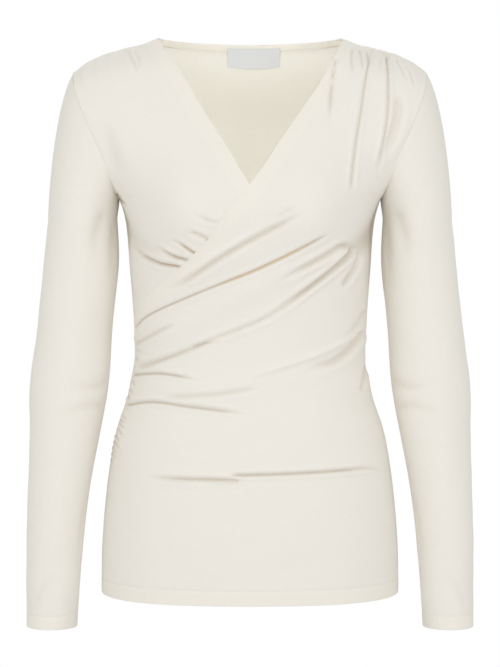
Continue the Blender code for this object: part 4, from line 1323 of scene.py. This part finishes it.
def neck_label():
    columns, rows = LABEL_GRID
    x = LABEL["shift"] + np.linspace(-LABEL["wide"] / 2, LABEL["wide"] / 2, columns)
    turn = np.arcsin(x / BACK_NECK["half_width"])
    rise = band_point(0.0, 1.0) - band_point(0.0, 0.0)
    inward = unit(np.cross((1, 0, 0), rise))
    top = band_point(turn, LABEL["sewn_at"]) + inward * LABEL_OFF
    lean = math.radians(LABEL["lean"])
    share = np.linspace(1, 0, rows)
    hang = np.array([0, math.sin(lean), -math.cos(lean)])
    middle = 1 - ((x - LABEL["shift"]) / (LABEL["wide"] / 2)) ** 2
    points = top + LABEL["tall"] * share[:, None, None] * hang
    points = points + (LABEL_BELLY * share[:, None] ** 2 * middle)[..., None] * inward
    points[..., 2] -= LABEL_SAG * share[:, None] * middle
    out = np.broadcast_to(inward, points.shape)
    flat = np.stack(np.broadcast_arrays(x[None, :], -share[:, None] * LABEL["tall"]), -1)
    none = np.zeros((*flat.shape[:2], 1))
    grid = np.concatenate([points, out, flat, none, none], -1)
    for name, depth in LABEL_TURNS.items():
        grid = turn_in(grid, name, LABEL_ROLL, depth)
    return grid


sheet_piece("neck_label_satin", neck_label(), "neck_label", SATIN)

# %% [markdown]
# ## Light, floor and camera
#
# Cream cloth shows its form by soft differences, so the light is broad: two large panels in
# front, a weaker one above, and a pale surround. A small cool panel inside the chest stands for
# the light that bounces in through the neck. The camera looks from almost straight in front, a
# little above the middle of the top.

# %% The surround and the lights
TARGET = (0, 0, -0.343)
DISTANCE = 3.0
ELEVATION = math.radians(3.5)
METRES_PER_PIXEL = 0.001164
IMAGE_HEIGHT = 667
SENSOR = 36.0
FLOOR_Z, FLOOR_RADIUS = -1.45, 3.0
FLOOR_COLOURS = (0.80, 0.80, 0.80, 1), (0.83, 0.83, 0.83, 1)
SURROUND = 0.65


def surround():
    world = bpy.data.worlds.new("pale surround")
    world.use_nodes = True
    w = Wire(world.node_tree, None)
    shader = world.node_tree.nodes["Background"]
    seen = w.node("ShaderNodeLightPath")
    world.node_tree.links.new((SURROUND + seen * (1 - SURROUND)).socket, shader.inputs["Strength"])
    shader.inputs["Color"].default_value = (1, 1, 1, 1)
    bpy.context.scene.world = world


def light_panel(name, location, turn, size, watts):
    """A square of soft light, which shines along its own -Z."""
    data = bpy.data.lights.new(name, "AREA")
    data.size, data.energy = size, watts
    lamp = bpy.data.objects.new(name, data)
    lamp.location, lamp.rotation_euler = location, turn
    bpy.context.scene.collection.objects.link(lamp)
    return lamp


def softbox(name, azimuth, elevation, distance, size, watts):
    """A light panel that faces the top. Azimuth 0 is in front, 90 at its left."""
    a, e = math.radians(azimuth), math.radians(elevation)
    away = np.array([math.sin(a) * math.cos(e), -math.cos(a) * math.cos(e), math.sin(e)])
    light_panel(name, np.array(TARGET) + away * distance, (math.pi / 2 - e, 0, a), size, watts)


surround()
softbox("panel at the left", 38, 9, 2.6, 1.9, 14.2)
softbox("panel at the right", -41, 9, 2.6, 1.9, 13.7)
softbox("panel above", 0, 62, 2.4, 1.6, 4)
inside_turn = (math.radians(98), 0, math.pi)
inside = light_panel("panel inside the chest", (0, -0.045, -0.135), inside_turn, 0.16, 0.36)
inside.data.color = (0.90, 0.96, 1.0)
inside.visible_camera = False


# %% The floor and the camera
def floor():
    bpy.ops.object.select_all(action="DESELECT")
    bpy.ops.mesh.primitive_circle_add(
        vertices=96, radius=FLOOR_RADIUS, fill_type="NGON", location=(0, 0, FLOOR_Z),
    )
    bpy.ops.object.transform_apply(location=True, rotation=True, scale=True)
    disc = bpy.context.object
    disc.name = "studio_floor"
    made, shader, w = finish("pale floor", 0.8, specular=0.2)
    place = w.node("ShaderNodeTexCoord", out=3)
    speckle = w.node("ShaderNodeTexNoise", i2=40.0, i3=3.0, Vector=place)
    feed(shader, speckle.mix(*FLOOR_COLOURS), "Base Color")
    disc.data.materials.append(made)


def camera():
    data = bpy.data.cameras.new("camera")
    data.sensor_fit = "VERTICAL"
    data.sensor_height = SENSOR
    data.lens = SENSOR * DISTANCE / (METRES_PER_PIXEL * IMAGE_HEIGHT)
    eye = bpy.data.objects.new("camera", data)
    away = np.array([0, -math.cos(ELEVATION), math.sin(ELEVATION)])
    eye.location = np.array(TARGET) + away * DISTANCE
    eye.rotation_euler = (math.pi / 2 - ELEVATION, 0, 0)
    bpy.context.scene.collection.objects.link(eye)
    bpy.context.scene.camera = eye


floor()
camera()
bpy.context.scene.view_settings.view_transform = "Standard"
# only the panels above light the top
for old in [o for o in bpy.data.objects if o.type == "LIGHT" and not o.name.startswith("panel")]:
    bpy.data.objects.remove(old)
